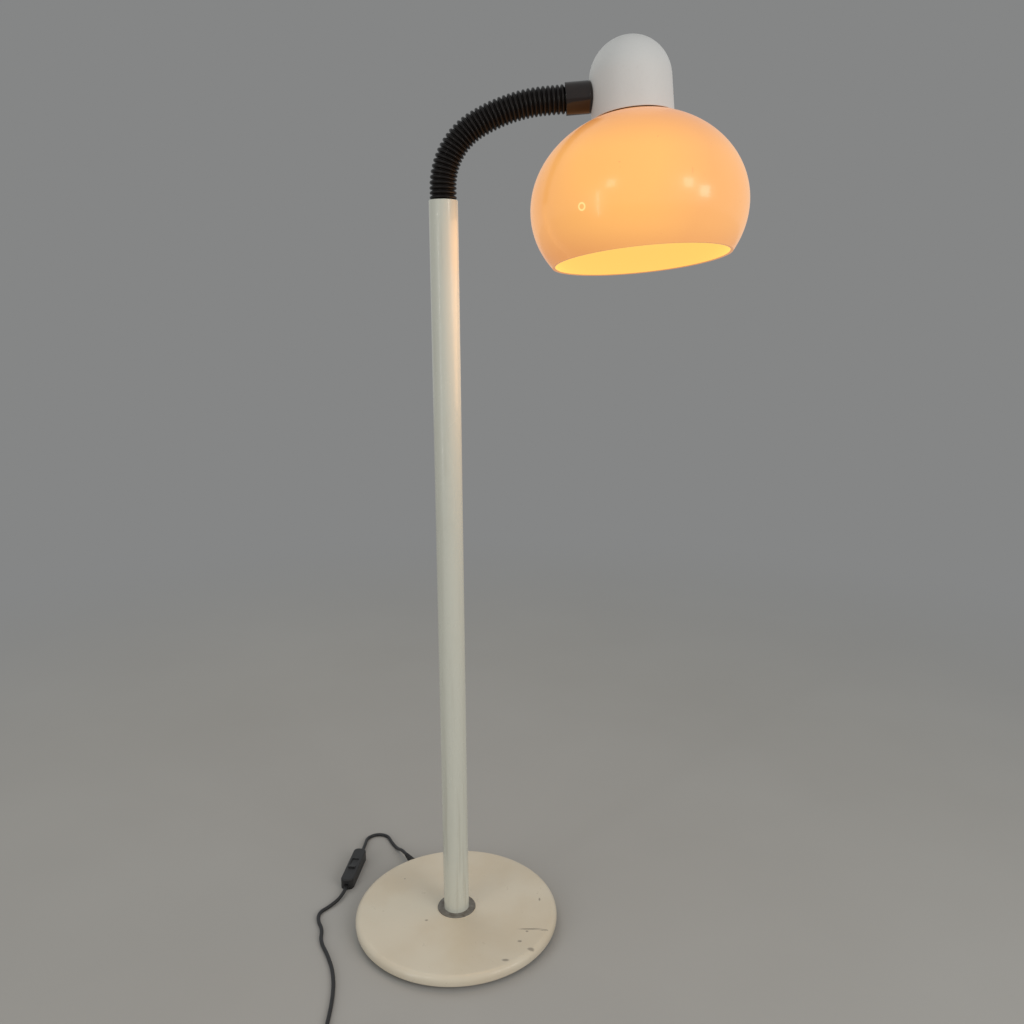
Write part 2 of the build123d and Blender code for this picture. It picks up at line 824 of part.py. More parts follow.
with BuildPart() as switch_base:
    with BuildSketch(switch_plane):
        RectangleRounded(switch_length, switch_width, switch_end)
    extrude(amount=switch_split)
    with BuildSketch(switch_plane.offset(switch_wall)):
        Rectangle(cavity_length, inner_width)
    extrude(amount=switch_split, mode=Mode.SUBTRACT)
    for side in (-1, 1):
        with BuildSketch(boot_plane(side).offset(-switch_end)):
            Circle(boot_radius)
        extrude(amount=switch_end + boot_length)
        with BuildSketch(switch_plane.offset(switch_split)):
            with Locations((side * switch_length / 2, 0)):
                Rectangle(4 * switch_end, switch_width)
        extrude(amount=switch_height, mode=Mode.SUBTRACT)
    with BuildSketch(switch_plane):
        with Locations(*switch_screws_at):
            Circle(switch_screw_radius + seat)
    extrude(amount=switch_split, mode=Mode.SUBTRACT)
    for place in switch_screws_at:
        with BuildSketch(switch_plane):
            with Locations(place):
                Circle(switch_screw_head + seat)
        with BuildSketch(switch_plane.offset(switch_screw_sink)):
            with Locations(place):
                Circle(switch_screw_radius + seat)
        loft(ruled=True, mode=Mode.SUBTRACT)
save(switch_base, "switch_base")

rocker_mount = Plane(
    origin=(switch_x, switch_y, rocker_axis), x_dir=switch_way, z_dir=switch_front.z_dir
)

with BuildPart() as switch_cover:
    with BuildSketch(switch_plane.offset(switch_split)):
        RectangleRounded(switch_length, switch_width, switch_end)
    extrude(amount=switch_height - switch_split)
    fillet(switch_cover.edges().group_by(Axis.Z)[-1], switch_edge)
    with BuildSketch(switch_plane.offset(switch_split)):
        Rectangle(cavity_length, inner_width)
    extrude(amount=roof_low - switch_split, mode=Mode.SUBTRACT)
    with BuildSketch(switch_plane.offset(rocker_axis - lug_below)):
        Rectangle(lug_length, inner_width)
    extrude(amount=roof_low - rocker_axis + lug_below)
    with BuildSketch(switch_plane.offset(switch_split)):
        Rectangle(window_length, window_width)
    extrude(amount=switch_height, mode=Mode.SUBTRACT)
    with BuildSketch(rocker_mount):
        Circle(pin_radius + seat)
    extrude(amount=rocker_width / 2 + pin_reach + slip, both=True, mode=Mode.SUBTRACT)
    with BuildSketch(switch_plane.offset(switch_split)):
        with Locations(*switch_screws_at):
            Circle(switch_screw_radius + seat)
    extrude(amount=switch_screw_length - switch_split + slip, mode=Mode.SUBTRACT)
    for side in (-1, 1):
        with BuildSketch(boot_plane(side).offset(-switch_end)):
            Circle(boot_radius + seat)
        extrude(amount=switch_end + boot_length, mode=Mode.SUBTRACT)
save(switch_cover, "switch_cover")

with BuildPart() as switch_screws:
    for place in switch_screws_at:
        with BuildSketch(switch_plane):
            with Locations(place):
                Circle(switch_screw_head)
        with BuildSketch(switch_plane.offset(switch_screw_sink)):
            with Locations(place):
                Circle(switch_screw_radius)
        loft(ruled=True)
        with BuildSketch(switch_plane.offset(switch_screw_sink)):
            with Locations(place):
                Circle(switch_screw_radius)
        extrude(amount=switch_screw_length - switch_screw_sink)
save(switch_screws, "switch_screws")

# The rocker lies tipped towards its far end, on two pins in the cover's lugs.
rocker_way = switch_way * cos(tilt) - Vector(0, 0, sin(tilt))
rocker_plane = Plane(origin=rocker_mount.origin, x_dir=rocker_way, z_dir=rocker_mount.z_dir)
half_rocker = rocker_length / 2
with BuildPart() as switch_rocker:
    with BuildSketch(rocker_plane):
        with BuildLine():
            ThreePointArc((-half_rocker, rocker_top), (0, rocker_top - rocker_dip), (half_rocker, rocker_top))
            Line((half_rocker, rocker_top), (half_rocker, -pin_radius))
            ThreePointArc((half_rocker, -pin_radius), (0, -rocker_below), (-half_rocker, -pin_radius))
            Line((-half_rocker, -pin_radius), (-half_rocker, rocker_top))
        make_face()
    extrude(amount=rocker_width / 2, both=True)
    with BuildSketch(rocker_plane):
        Circle(pin_radius)
    extrude(amount=rocker_width / 2 + pin_reach, both=True)
save(switch_rocker, "switch_rocker")

# ---------------------------------------------------------------- free cord, coil and plug

floor = cable_radius
grip_end = exit_way * grip_tip + Vector(0, 0, exit_height)
grip_run = exit_way * 15        # straight stretches at the grip, the switch's two boots and the coil
switch_far = boot_plane(1).origin + switch_way * boot_length
switch_near = boot_plane(-1).origin - switch_way * boot_length
far_run = switch_way * 21
near_run = switch_way * 20
coil_run = Vector(0, 41, 0)

cord_tube(
    "cord_to_switch",
    [
        grip_end,
        grip_end + grip_run,
        (-104, 167, floor),
        (-115.5, 185, floor),
        (-124, 204, floor),
        (-142, 209, floor),
        (-157, 198, floor),
        switch_far + far_run,
        switch_far,
    ],
)

coil_step = coil_pitch / 2
layer_rise = coil_pitch
coil_start = Vector(coil_x - coil_radius, coil_y, floor)
coil_entry = coil_start + Vector(0, 2 * cable_radius, 0)

cord_tube(
    "cord_to_coil",
    [
        switch_near,
        switch_near - near_run,
        (-184, 24, floor),
        (-196, 12, floor),
        (-194, -6, floor),
        (-184, -24, floor),
        (-182, -48, floor),
        (-166, -76, floor),
        (-152, -110, floor),
        (-144.8, -150, floor),
        coil_entry + coil_run,
        coil_entry,
    ],
)

# Half turns of the coil: in along the floor, up a layer at the innermost one, and out again on top.
half_turns = 2 * coil_loops
coil_radii = [coil_radius - coil_step * half for half in range(half_turns)]
coil_inner = coil_radius - coil_step * half_turns - coil_tuck
coil_out = [coil_radii[-1 - half] for half in range(half_turns - 1)]
coil_ends = [(radius, floor) for radius in coil_radii] + [(coil_inner, floor), (coil_inner, floor + layer_rise)]
coil_ends += [(radius, floor + layer_rise) for radius in coil_out]


def coil_point(number):
    """Where a half turn starts: on the near or the far side of the coil's centre along X."""
    reach, height = coil_ends[number]
    side = -1 if number % 2 == 0 else 1
    return Vector(coil_x + side * reach, coil_y, height), Vector(0, side, 0)


def half_turn(number):
    """Top of a half turn between two of the coil's ends, and its direction there."""
    (start, way), (end, _) = coil_point(number), coil_point(number + 1)
    chord = end - start
    return start, way, (start + end) * 0.5 + way * (chord.length / 2), chord.normalized(), end


with BuildPart() as cord_coil:
    with BuildLine() as coil_line:
        Line(coil_entry, coil_start)
        for number in range(len(coil_ends) - 1):
            start, way, top, along, end = half_turn(number)
            TangentArc(start, top, tangent=way)
            TangentArc(top, end, tangent=along)
        last_start, way = coil_point(len(coil_ends) - 1)
        last_radius = coil_ends[-1][0] + coil_step / 2
        last_top = last_start + Vector(last_radius, 0, 0) + way * last_radius
        TangentArc(last_start, last_top, tangent=way)
        Line(last_top, last_top + Vector(plug_run, 0, 0))
    with BuildSketch(Plane(origin=coil_entry, z_dir=(0, -1, 0))):
        Circle(cable_radius)
    sweep()
save(cord_coil, "cord_coil")

coil_wire = coil_line.wires()[0]
coil_length = coil_wire.length
coil_share = cord_coil.part.volume / (pi * cable_radius ** 2 * coil_length)
spots = [coil_wire @ (step / round(coil_length)) for step in range(round(coil_length) + 1)]
least = min(
    (spots[one] - spots[two]).length
    for one in range(len(spots))
    for two in range(one + round(4 * pi * cable_radius), len(spots))
)
print("cord_coil length", round(coil_length, 1), "volume share", round(coil_share, 4))
print("cord_coil least gap to itself", round(least - 2 * cable_radius, 2))

plug_start = last_top + Vector(plug_run, 0, 0)
plug_height = 2 * plug_start.Z


def plug_plane(reach):
    """Plane square to the plug, this far along it from the cord's end."""
    return Plane(origin=plug_start + Vector(reach, 0, 0), x_dir=(0, 1, 0), z_dir=(1, 0, 0))


with BuildPart() as plug_body:
    with BuildSketch(plug_plane(0)):
        Circle(plug_neck)
    with BuildSketch(plug_plane(plug_taper)):
        Circle(plug_height / 2)
    loft(ruled=True)
    with BuildSketch(plug_plane(plug_taper)):
        RectangleRounded(plug_width, plug_height, plug_edge)
    extrude(amount=plug_length - plug_taper)
    for side in (-1, 1):
        with BuildSketch(plug_plane(plug_length)):
            with Locations((side * plug_pin_pitch / 2, 0)):
                Circle(plug_pin_radius + seat)
        extrude(amount=-plug_pin_radius * 2, mode=Mode.SUBTRACT)
save(plug_body, "plug_body")

with BuildPart() as plug_pins:
    for side in (-1, 1):
        with BuildSketch(plug_plane(plug_length - plug_pin_radius * 2)):
            with Locations((side * plug_pin_pitch / 2, 0)):
                Circle(plug_pin_radius)
        extrude(amount=plug_pin_radius * 2 + plug_pin_length)
    fillet(plug_pins.edges().group_by(Axis.X)[-1], plug_pin_radius / 2)
save(plug_pins, "plug_pins")
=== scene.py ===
from math import asin, cos, pi, radians, sin, sqrt, tan

import bmesh
import bpy
from mathutils import Matrix, Vector


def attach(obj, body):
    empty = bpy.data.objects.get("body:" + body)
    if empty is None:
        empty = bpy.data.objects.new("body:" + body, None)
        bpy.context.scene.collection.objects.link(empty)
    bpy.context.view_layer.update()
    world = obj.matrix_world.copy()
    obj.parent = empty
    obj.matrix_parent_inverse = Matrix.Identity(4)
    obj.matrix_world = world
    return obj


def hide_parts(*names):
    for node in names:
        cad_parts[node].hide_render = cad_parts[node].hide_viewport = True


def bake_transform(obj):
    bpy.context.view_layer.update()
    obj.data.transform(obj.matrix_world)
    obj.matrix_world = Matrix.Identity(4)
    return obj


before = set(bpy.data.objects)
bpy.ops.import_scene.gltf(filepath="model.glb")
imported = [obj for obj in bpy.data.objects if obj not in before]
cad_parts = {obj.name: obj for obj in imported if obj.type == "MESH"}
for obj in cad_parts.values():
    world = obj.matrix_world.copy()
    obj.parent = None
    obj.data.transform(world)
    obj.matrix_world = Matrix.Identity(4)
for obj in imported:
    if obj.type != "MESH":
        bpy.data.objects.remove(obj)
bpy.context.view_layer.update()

# ---------------------------------------------------------------- camera
# The photograph is taken from a little below the top of the pole, about 1.1 m in front of it, and looks
# slightly down. The pole stands left of the middle, with the shade to its right.
CAMERA_AT = (0.0795, -1.1135, 0.8283)
CAMERA_LENS = 31.64          # millimetres, like the sensor
CAMERA_SENSOR = 36
CAMERA_DOWN = radians(12.32)
CAMERA_ROLL = radians(-0.21)


def link(name, data):
    made = bpy.data.objects.new(name, data)
    bpy.context.scene.collection.objects.link(made)
    return made


camera_data = bpy.data.cameras.new("camera")
camera_data.lens = CAMERA_LENS
camera_data.sensor_width = CAMERA_SENSOR
camera_data.clip_end = 50
camera = link("camera", camera_data)
camera_tilt = Matrix.Rotation(pi / 2 - CAMERA_DOWN, 4, "X") @ Matrix.Rotation(CAMERA_ROLL, 4, "Z")
camera.matrix_world = Matrix.Translation(CAMERA_AT) @ camera_tilt
bpy.context.scene.camera = camera
bpy.context.scene.view_settings.view_transform = "Standard"

# ---------------------------------------------------------------- floor, backdrop and studio light
# A plain grey paper sweep that fades into the backdrop at every side, so that no edge shows from any angle.
# Wide soft lamps give the light. Three window panes and a tall strip put the glints in the gloss, and a warm
# lamp below the shade adds the glow that the shade throws on the pole.
FLOOR_REACH = 6.0
FLOOR_COLOUR = (0.375, 0.362, 0.340)
FLOOR_STAIN = (0.425, 0.414, 0.392)
BACKDROP_COLOUR = (0.235, 0.238, 0.238)
FLOOR_FADE = (0.75, 2.3)     # where the paper starts and ends turning into the backdrop
SKY_COLOUR = (0.84, 0.87, 0.88)
SKY_STRENGTH = 0.50
WINDOW_LIGHT = (1.0, 0.95, 0.86)
SHADE_LIGHT = (1.0, 0.55, 0.28)
MIX_LOW, MIX_HIGH, MIX_RESULT = 6, 7, 2      # the colour sockets of a mix node


class Signal:
    """A node's socket on which sums are written as on a number."""

    def __init__(self, nodes, socket):
        self.nodes = nodes
        self.socket = socket

    def math(self, operation, *others):
        return self.nodes.node("ShaderNodeMath", {"operation": operation}, dict(enumerate((self, *others))))

    def __add__(self, other):
        return self.math("ADD", other)

    __radd__ = __add__

    def __mul__(self, other):
        return self.math("MULTIPLY", other)

    __rmul__ = __mul__

    def __sub__(self, other):
        return self.math("SUBTRACT", other)

    def __rsub__(self, other):
        return self.nodes.node("ShaderNodeMath", {"operation": "SUBTRACT"}, {0: other, 1: self})

    def __truediv__(self, other):
        return self.math("DIVIDE", other)

    def __pow__(self, other):
        return self.math("POWER", other)

    def at_least(self, low):
        return self.math("MAXIMUM", low)

    def at_most(self, high):
        return self.math("MINIMUM", high)

    def band(self, low, high):
        """0 at low, 1 at high, and smooth between."""
        values = {"Value": self, "From Min": low, "From Max": high}
        return self.nodes.node("ShaderNodeMapRange", {"interpolation_type": "SMOOTHSTEP"}, values)


class Nodes:
    """A node tree in which every node is made by node()."""

    def __init__(self, tree):
        self.tree = tree
        self.tree.nodes.clear()

    def node(self, kind, settings=None, values=None, output=0):
        new = self.tree.nodes.new(kind)
        for name, setting in (settings or {}).items():
            if name == "stops":
                for stop, (place, colour) in enumerate(setting):
                    if stop > 1:
                        new.color_ramp.elements.new(place)
                    new.color_ramp.elements[stop].position = place
                    new.color_ramp.elements[stop].color = (*colour, 1)
            else:
                setattr(new, name, setting)
        for name, value in (values or {}).items():
            if isinstance(value, Signal):
                self.tree.links.new(value.socket, new.inputs[name])
            elif new.inputs[name].type == "RGBA":
                new.inputs[name].default_value = (*value, 1)
            else:
                new.inputs[name].default_value = value
        return Signal(self, new.outputs[output]) if new.outputs else new


class Finish(Nodes):
    """The nodes of a material, or of the world."""

    def __init__(self, name, target=None):
        self.target = target or bpy.data.materials.new(name)
        self.target.use_nodes = True
        super().__init__(self.target.node_tree)

    def place(self):
        """The point on the piece, in metres in the lamp's own frame."""
        return self.node("ShaderNodeTexCoord", output="Object")

    def axis(self, number):
        return self.node("ShaderNodeSeparateXYZ", values={0: self.place()}, output=number)

    def noise(self, scale, detail=3.0, roughness=0.5, stretch=(1, 1, 1)):
        point = self.node("ShaderNodeMapping", values={"Vector": self.place(), "Scale": stretch})
        values = {"Vector": point, "Scale": scale, "Detail": detail, "Roughness": roughness}
        return self.node("ShaderNodeTexNoise", values=values)

    def distance(self, centre, stretch=(1, 1, 1)):
        """How far the point on the piece is from a centre, measured on stretched axes."""
        start = self.node("ShaderNodeVectorMath", {"operation": "SUBTRACT"}, {0: self.place(), 1: centre})
        scaled = self.node("ShaderNodeVectorMath", {"operation": "MULTIPLY"}, {0: start, 1: stretch})
        return self.node("ShaderNodeVectorMath", {"operation": "LENGTH"}, {0: scaled}, "Value")

    def blend(self, share, low, high):
        values = {0: share, MIX_LOW: low, MIX_HIGH: high}
        return self.node("ShaderNodeMix", {"data_type": "RGBA"}, values, MIX_RESULT)

    def ramp(self, share, *stops):
        return self.node("ShaderNodeValToRGB", {"stops": stops}, {0: share})

    def bump(self, height, distance):
        return self.node("ShaderNodeBump", values={"Height": height, "Distance": distance})

    def surface(self, **values):
        """Ends the material with a shader whose sockets are given by name, as base_color for Base Color."""
        named = {}
        for name, value in values.items():
            named[name.replace("_", " ").title().replace("Ior", "IOR")] = value
        return self.done(self.node("ShaderNodeBsdfPrincipled", values=named))

    def done(self, shader):
        in_world = isinstance(self.target, bpy.types.World)
        kind = "ShaderNodeOutputWorld" if in_world else "ShaderNodeOutputMaterial"
        self.node(kind, values={"Surface": shader})
        return self.target


def soft_lamp(name, at, towards, width, height, power, colour, glints=False):
    """A rectangular lamp, which shows in glossy pieces only where it has to glint."""
    lamp_data = bpy.data.lights.new(name, "AREA")
    lamp_data.shape = "RECTANGLE"
    lamp_data.size = width
    lamp_data.size_y = height
    lamp_data.energy = power
    lamp_data.color = colour
    lamp = link(name, lamp_data)
    lamp.visible_camera = False
    lamp.visible_glossy = glints
    way = Vector(towards) - Vector(at)
    lamp.matrix_world = Matrix.Translation(at) @ way.to_track_quat("-Z", "Y").to_matrix().to_4x4()


floor_mesh = bpy.data.meshes.new("floor")
floor_corners = [(x * FLOOR_REACH, y * FLOOR_REACH, 0) for x, y in ((-1, -1), (1, -1), (1, 1), (-1, 1))]
floor_mesh.from_pydata(floor_corners, [], [(0, 1, 2, 3)])
floor = link("floor", floor_mesh)
paper = Finish("paper")
paper_shade = paper.blend(paper.noise(2.2, 4), FLOOR_COLOUR, FLOOR_STAIN)
paper_lit = paper.node("ShaderNodeBsdfDiffuse", values={"Color": paper_shade})
paper_flat = paper.node("ShaderNodeEmission", values={"Color": BACKDROP_COLOUR, "Strength": 1.0})
paper_fade = paper.distance((0, 0, 0)).band(*FLOOR_FADE)
floor_mesh.materials.append(
    paper.done(paper.node("ShaderNodeMixShader", values={0: paper_fade, 1: paper_lit, 2: paper_flat}))
)

studio = bpy.data.worlds.new("studio")
bpy.context.scene.world = studio
sky = Finish("studio", studio)
sky_seen = sky.node("ShaderNodeLightPath", output="Is Camera Ray")
sky_colour = sky.blend(sky_seen, SKY_COLOUR, BACKDROP_COLOUR)
sky_level = SKY_STRENGTH + sky_seen * (1 - SKY_STRENGTH)
sky.done(sky.node("ShaderNodeBackground", values={"Color": sky_colour, "Strength": sky_level}))

# Name, place, what it points at, width, height, watts, colour, and whether it glints
soft_lamp("key", (1.7, -1.7, 1.3), (0.1, 0, 0.7), 1.3, 1.3, 19, (1.0, 0.98, 0.97))
soft_lamp("fill", (-1.8, -1.5, 0.9), (0, 0, 0.4), 1.2, 1.2, 9, (1.0, 0.98, 0.95))
soft_lamp("back", (-0.9, 1.3, 2.2), (0, 0, 0), 1.2, 1.2, 6.5, (1.0, 0.97, 0.92))
soft_lamp("pane_left", (-0.95, -1.64, 1.63), (0.18, -0.13, 0.96), 0.30, 0.34, 1.4, WINDOW_LIGHT, True)
soft_lamp("pane_middle", (1.60, -1.50, 1.54), (0.26, -0.13, 0.96), 0.34, 0.40, 2.4, WINDOW_LIGHT, True)
soft_lamp("pane_right", (2.03, -1.06, 1.20), (0.28, -0.13, 0.95), 0.42, 0.42, 3.2, WINDOW_LIGHT, True)
soft_lamp("strip", (-1.36, -1.46, 0.80), (0, 0, 0.80), 0.08, 1.1, 1.8, (1.0, 0.98, 0.95), True)
soft_lamp("shade_glow", (0.15, -0.02, 0.82), (0, -0.02, 0.72), 0.12, 0.30, 0.24, SHADE_LIGHT, True)

# ---------------------------------------------------------------- mains cord
# Thin black PVC lead, quite limp. It leaves the rim behind the base, loops over to the inline switch and
# wanders to the front. The rest of its two metres is put away in a two-layer coil in front of what the
# photograph shows.
CORD_WIDTH = 0.005
FLOOR_LINE = CORD_WIDTH / 2
EXIT_TURN = radians(122)
EXIT_WAY = Vector((cos(EXIT_TURN), sin(EXIT_TURN), 0))
EXIT_HEIGHT = 0.0115
RELIEF_END = 0.162
SWITCH_AT = Vector((-0.163, 0.1085, 0.005))
SWITCH_TURN = radians(84.2)
SWITCH_WAY = Vector((cos(SWITCH_TURN), sin(SWITCH_TURN), 0))
SWITCH_REACH = 0.045         # from the middle of the switch to the end of each cord boot
COIL_AT = Vector((-0.104, -0.248, 0))
COIL_REACH = 0.0392          # of its widest loop
COIL_PITCH = 0.0056          # from loop to loop, and from layer to layer
COIL_LOOPS = 4               # in each layer
COIL_TUCK = 0.0014           # how far the climbing half turn is drawn in
RELIEF_RUN = 0.015           # straight stretches of the cord, where it leaves or meets a fitting or the coil
FAR_BOOT_RUN = 0.021
NEAR_BOOT_RUN = 0.020
COIL_RUN = 0.041
PLUG_RUN = 0.032
PLUG_SHARES = (0.3, 0.65, 1)
POINTS_PER_TURN = 16


def cord_curve(name, points):
    """A round lead on one smooth spline with these control points."""
    curve = bpy.data.curves.new(name, "CURVE")
    curve.dimensions = "3D"
    curve.bevel_depth = CORD_WIDTH / 2
    curve.bevel_resolution = 5
    curve.resolution_u = 8
    curve.use_fill_caps = True
    spline = curve.splines.new("NURBS")
    spline.points.add(len(points) - 1)
    for spot, point in zip(spline.points, points):
        spot.co = (*point, 1)
    spline.order_u = 3
    spline.use_endpoint_u = True
    return link(name, curve)


relief_tip = EXIT_WAY * RELIEF_END + Vector((0, 0, EXIT_HEIGHT))
far_boot = SWITCH_AT + SWITCH_WAY * SWITCH_REACH
near_boot = SWITCH_AT - SWITCH_WAY * SWITCH_REACH
loop_route = [
    relief_tip,
    relief_tip + EXIT_WAY * RELIEF_RUN,
    (-0.104, 0.167, FLOOR_LINE),
    (-0.1155, 0.185, FLOOR_LINE),
    (-0.124, 0.204, FLOOR_LINE),
    (-0.142, 0.209, FLOOR_LINE),
    (-0.157, 0.198, FLOOR_LINE),
    far_boot + SWITCH_WAY * FAR_BOOT_RUN,
    far_boot,
]
coil_entry = COIL_AT + Vector((-COIL_REACH, CORD_WIDTH, FLOOR_LINE))
front_route = [
    near_boot,
    near_boot - SWITCH_WAY * NEAR_BOOT_RUN,
    (-0.184, 0.024, FLOOR_LINE),
    (-0.196, 0.012, FLOOR_LINE),
    (-0.194, -0.006, FLOOR_LINE),
    (-0.184, -0.024, FLOOR_LINE),
    (-0.182, -0.048, FLOOR_LINE),
    (-0.166, -0.076, FLOOR_LINE),
    (-0.152, -0.110, FLOOR_LINE),
    (-0.1448, -0.150, FLOOR_LINE),
    coil_entry + Vector((0, COIL_RUN, 0)),
    coil_entry,
]


def coil_point(turns):
    """Point of the coil after this many turns: in along the floor, up a layer, and out again on top."""
    top = COIL_LOOPS + 0.5
    share = min(turns, COIL_LOOPS) if turns < top else COIL_LOOPS + top - turns
    rise = min(max((turns - COIL_LOOPS) * 2, 0), 1)
    past_climb = max(COIL_LOOPS - turns, turns - top, 0)
    reach = COIL_REACH - COIL_PITCH * share - COIL_TUCK * max(0, 1 - past_climb * 2)
    angle = pi + turns * 2 * pi
    height = FLOOR_LINE + COIL_PITCH * rise * rise * (3 - 2 * rise)
    return COIL_AT + Vector((reach * cos(angle), reach * sin(angle), height))


coil_turns = 2 * COIL_LOOPS + 0.25
coil_steps = round(coil_turns * POINTS_PER_TURN)
front_route += [coil_point(coil_turns * step / coil_steps) for step in range(coil_steps + 1)]
plug_start = Vector((COIL_AT.x + COIL_PITCH / 4 + PLUG_RUN, front_route[-1].y, front_route[-1].z))
front_route += [front_route[-1].lerp(plug_start, share) for share in PLUG_SHARES]

pvc = Finish("cord_pvc")
pvc_dust = pvc.noise(160, 4)
cord_pvc = pvc.surface(
    base_color=pvc.blend(pvc_dust, (0.010, 0.010, 0.011), (0.026, 0.026, 0.028)),
    roughness=0.34 + pvc_dust * 0.18,
    normal=pvc.bump(pvc.noise(900, 2), 0.0001),
)
cord_loop = cord_curve("cord_loop", loop_route)
cord_front = cord_curve("cord_front", front_route)
for cord in (cord_loop, cord_front):
    cord.data.materials.append(cord_pvc)
    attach(cord, "stand")
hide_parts("cord_to_switch")
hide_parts("cord_to_coil", "cord_coil")

# ---------------------------------------------------------------- base cover
# Round disc spun from sheet steel, with a rounded shoulder and a rim rolled in at the bottom. Its cream
# lacquer is aged and unevenly glossy, and most of its specks, chips and grey scuffs sit towards the right.
BASE_RADIUS = 0.140
BASE_HEIGHT = 0.020
RIM_RISE = 0.005
RIM_ROUND = 0.008
RIM_CURL = 0.004
COVER_WALL = 0.0012
COVER_HOLE = 0.0043
LIP_INNER = 0.0263           # the low lip that keeps the foot washer in its place
LIP_WALL = 0.0008
LIP_HEIGHT = 0.0008
LIP_INNER_EDGE = 0.0002
LIP_OUTER_EDGE = 0.0003
CREAM = (0.660, 0.590, 0.465)
CREAM_AGED = (0.600, 0.510, 0.375)
SCUFF_GREY = (0.250, 0.215, 0.170)
SCUFFS = (                   # place, size, and how each axis is stretched before the distance is measured
    ((0.1164, 0.0149, 0.020), 0.0022, (1.6, 0.6, 1)),
    ((0.0976, -0.0524, 0.020), 0.0016, (0.8, 1, 1)),
    ((0.0876, -0.0721, 0.020), 0.0021, (0.7, 1, 1)),
    ((-0.0396, -0.0291, 0.020), 0.0016, (0.7, 1, 1)),
    ((0.1020, -0.0478, 0.020), 0.0016, (0.10, 1, 1)),
    ((0.1215, -0.0500, 0.020), 0.0013, (0.18, 1, 1)),
    ((0.0690, -0.1075, 0.020), 0.0024, (0.5, 1, 1)),
    ((0.1020, -0.0870, 0.019), 0.0030, (0.6, 1, 1)),
    ((-0.0800, 0.0640, 0.020), 0.0012, (1, 1, 1)),
)
SAME_POINT = 1e-7            # two points of an outline that are this close are one
SHARP_FROM = radians(40)


def arc(across, height, radius, start, end, steps, tall=1.0):
    """Points of an arc in an outline, angles in degrees, with its height stretched."""
    angles = [radians(start + (end - start) * step / steps) for step in range(steps + 1)]
    return [(across + radius * cos(a), height + radius * tall * sin(a)) for a in angles]


def straight(start, end, steps):
    """Points that part a straight stretch of an outline into equal steps, without its two ends."""
    shares = [step / steps for step in range(1, steps)]
    return [tuple(a + (b - a) * share for a, b in zip(start, end)) for share in shares]


def turned(name, runs, steps=128, centre=(0, 0, 0), up=(0, 0, 1), side=(1, 0, 0)):
    """A piece turned about an axis, from the runs of its closed outline: (points, finish), and points are
    (reach, height) in metres. A run ends where the next one starts."""
    up, side = Vector(up).normalized(), Vector(side)
    side = (side - up * side.dot(up)).normalized()
    cross = up.cross(side)
    angles = [2 * pi * step / steps for step in range(steps)]
    spokes = [side * cos(angle) + cross * sin(angle) for angle in angles]
    outline, marks, finishes = [], [], []
    for points, finish in runs:
        if finish not in finishes:
            finishes.append(finish)
        for point in points:
            if not outline or (Vector(point) - Vector(outline[-1])).length > SAME_POINT:
                outline.append(point)
                marks.append(finishes.index(finish))
    if (Vector(outline[0]) - Vector(outline[-1])).length < SAME_POINT:
        outline.pop()
        marks.pop()
    made = bmesh.new()
    rings = []
    for reach, height in outline:
        middle = Vector(centre) + up * height
        if abs(reach) < SAME_POINT:
            rings.append([made.verts.new(middle)] * steps)
        else:
            rings.append([made.verts.new(middle + spoke * reach) for spoke in spokes])
    for number, ring in enumerate(rings):
        after = rings[(number + 1) % len(rings)]
        for step in range(steps):
            corners = [ring[step], ring[(step + 1) % steps], after[(step + 1) % steps], after[step]]
            corners = list(dict.fromkeys(corners))
            if len(corners) > 2:
                face = made.faces.new(corners)
                face.smooth = True
                face.material_index = marks[(number + 1) % len(rings)]
    bmesh.ops.recalc_face_normals(made, faces=made.faces)
    mesh = bpy.data.meshes.new(name)
    made.to_mesh(mesh)
    made.free()
    mesh.set_sharp_from_angle(angle=SHARP_FROM)
    for finish in finishes:
        mesh.materials.append(finish)
    return link(name, mesh)


cream = Finish("lacquer_cream")
cream_cloud = cream.noise(9, 4)
cream_speck = cream.noise(260, 2).band(0.70, 0.76) * cream.noise(14, 2).band(0.50, 0.62)
cream_worn = cream.blend(cream_cloud.band(0.35, 0.75), CREAM, CREAM_AGED)
scuffs = cream_speck * 0.35
for centre, size, stretch in SCUFFS:
    ragged = (cream.noise(700, 2) - 0.5) * 0.0016
    near = cream.distance(centre, stretch) + ragged
    scuffs = scuffs.at_least(1 - near.band(size * 0.55, size * 1.25))
lacquer_cream = cream.surface(
    base_color=cream.blend(scuffs * 0.8, cream_worn, SCUFF_GREY),
    roughness=0.24 + cream.noise(40, 5, 0.65) * 0.10 + scuffs * 0.3,
    coat_weight=0.25,
    coat_roughness=0.08,
    normal=cream.bump(cream.noise(420, 2) - scuffs * 0.6, 0.00006),
)
cover_edge = BASE_RADIUS - RIM_ROUND
cover_under = BASE_HEIGHT - COVER_WALL
curl_in, curl_at = BASE_RADIUS - RIM_CURL, RIM_RISE + RIM_CURL
lip_outer, lip_top = LIP_INNER + LIP_WALL, BASE_HEIGHT + LIP_HEIGHT
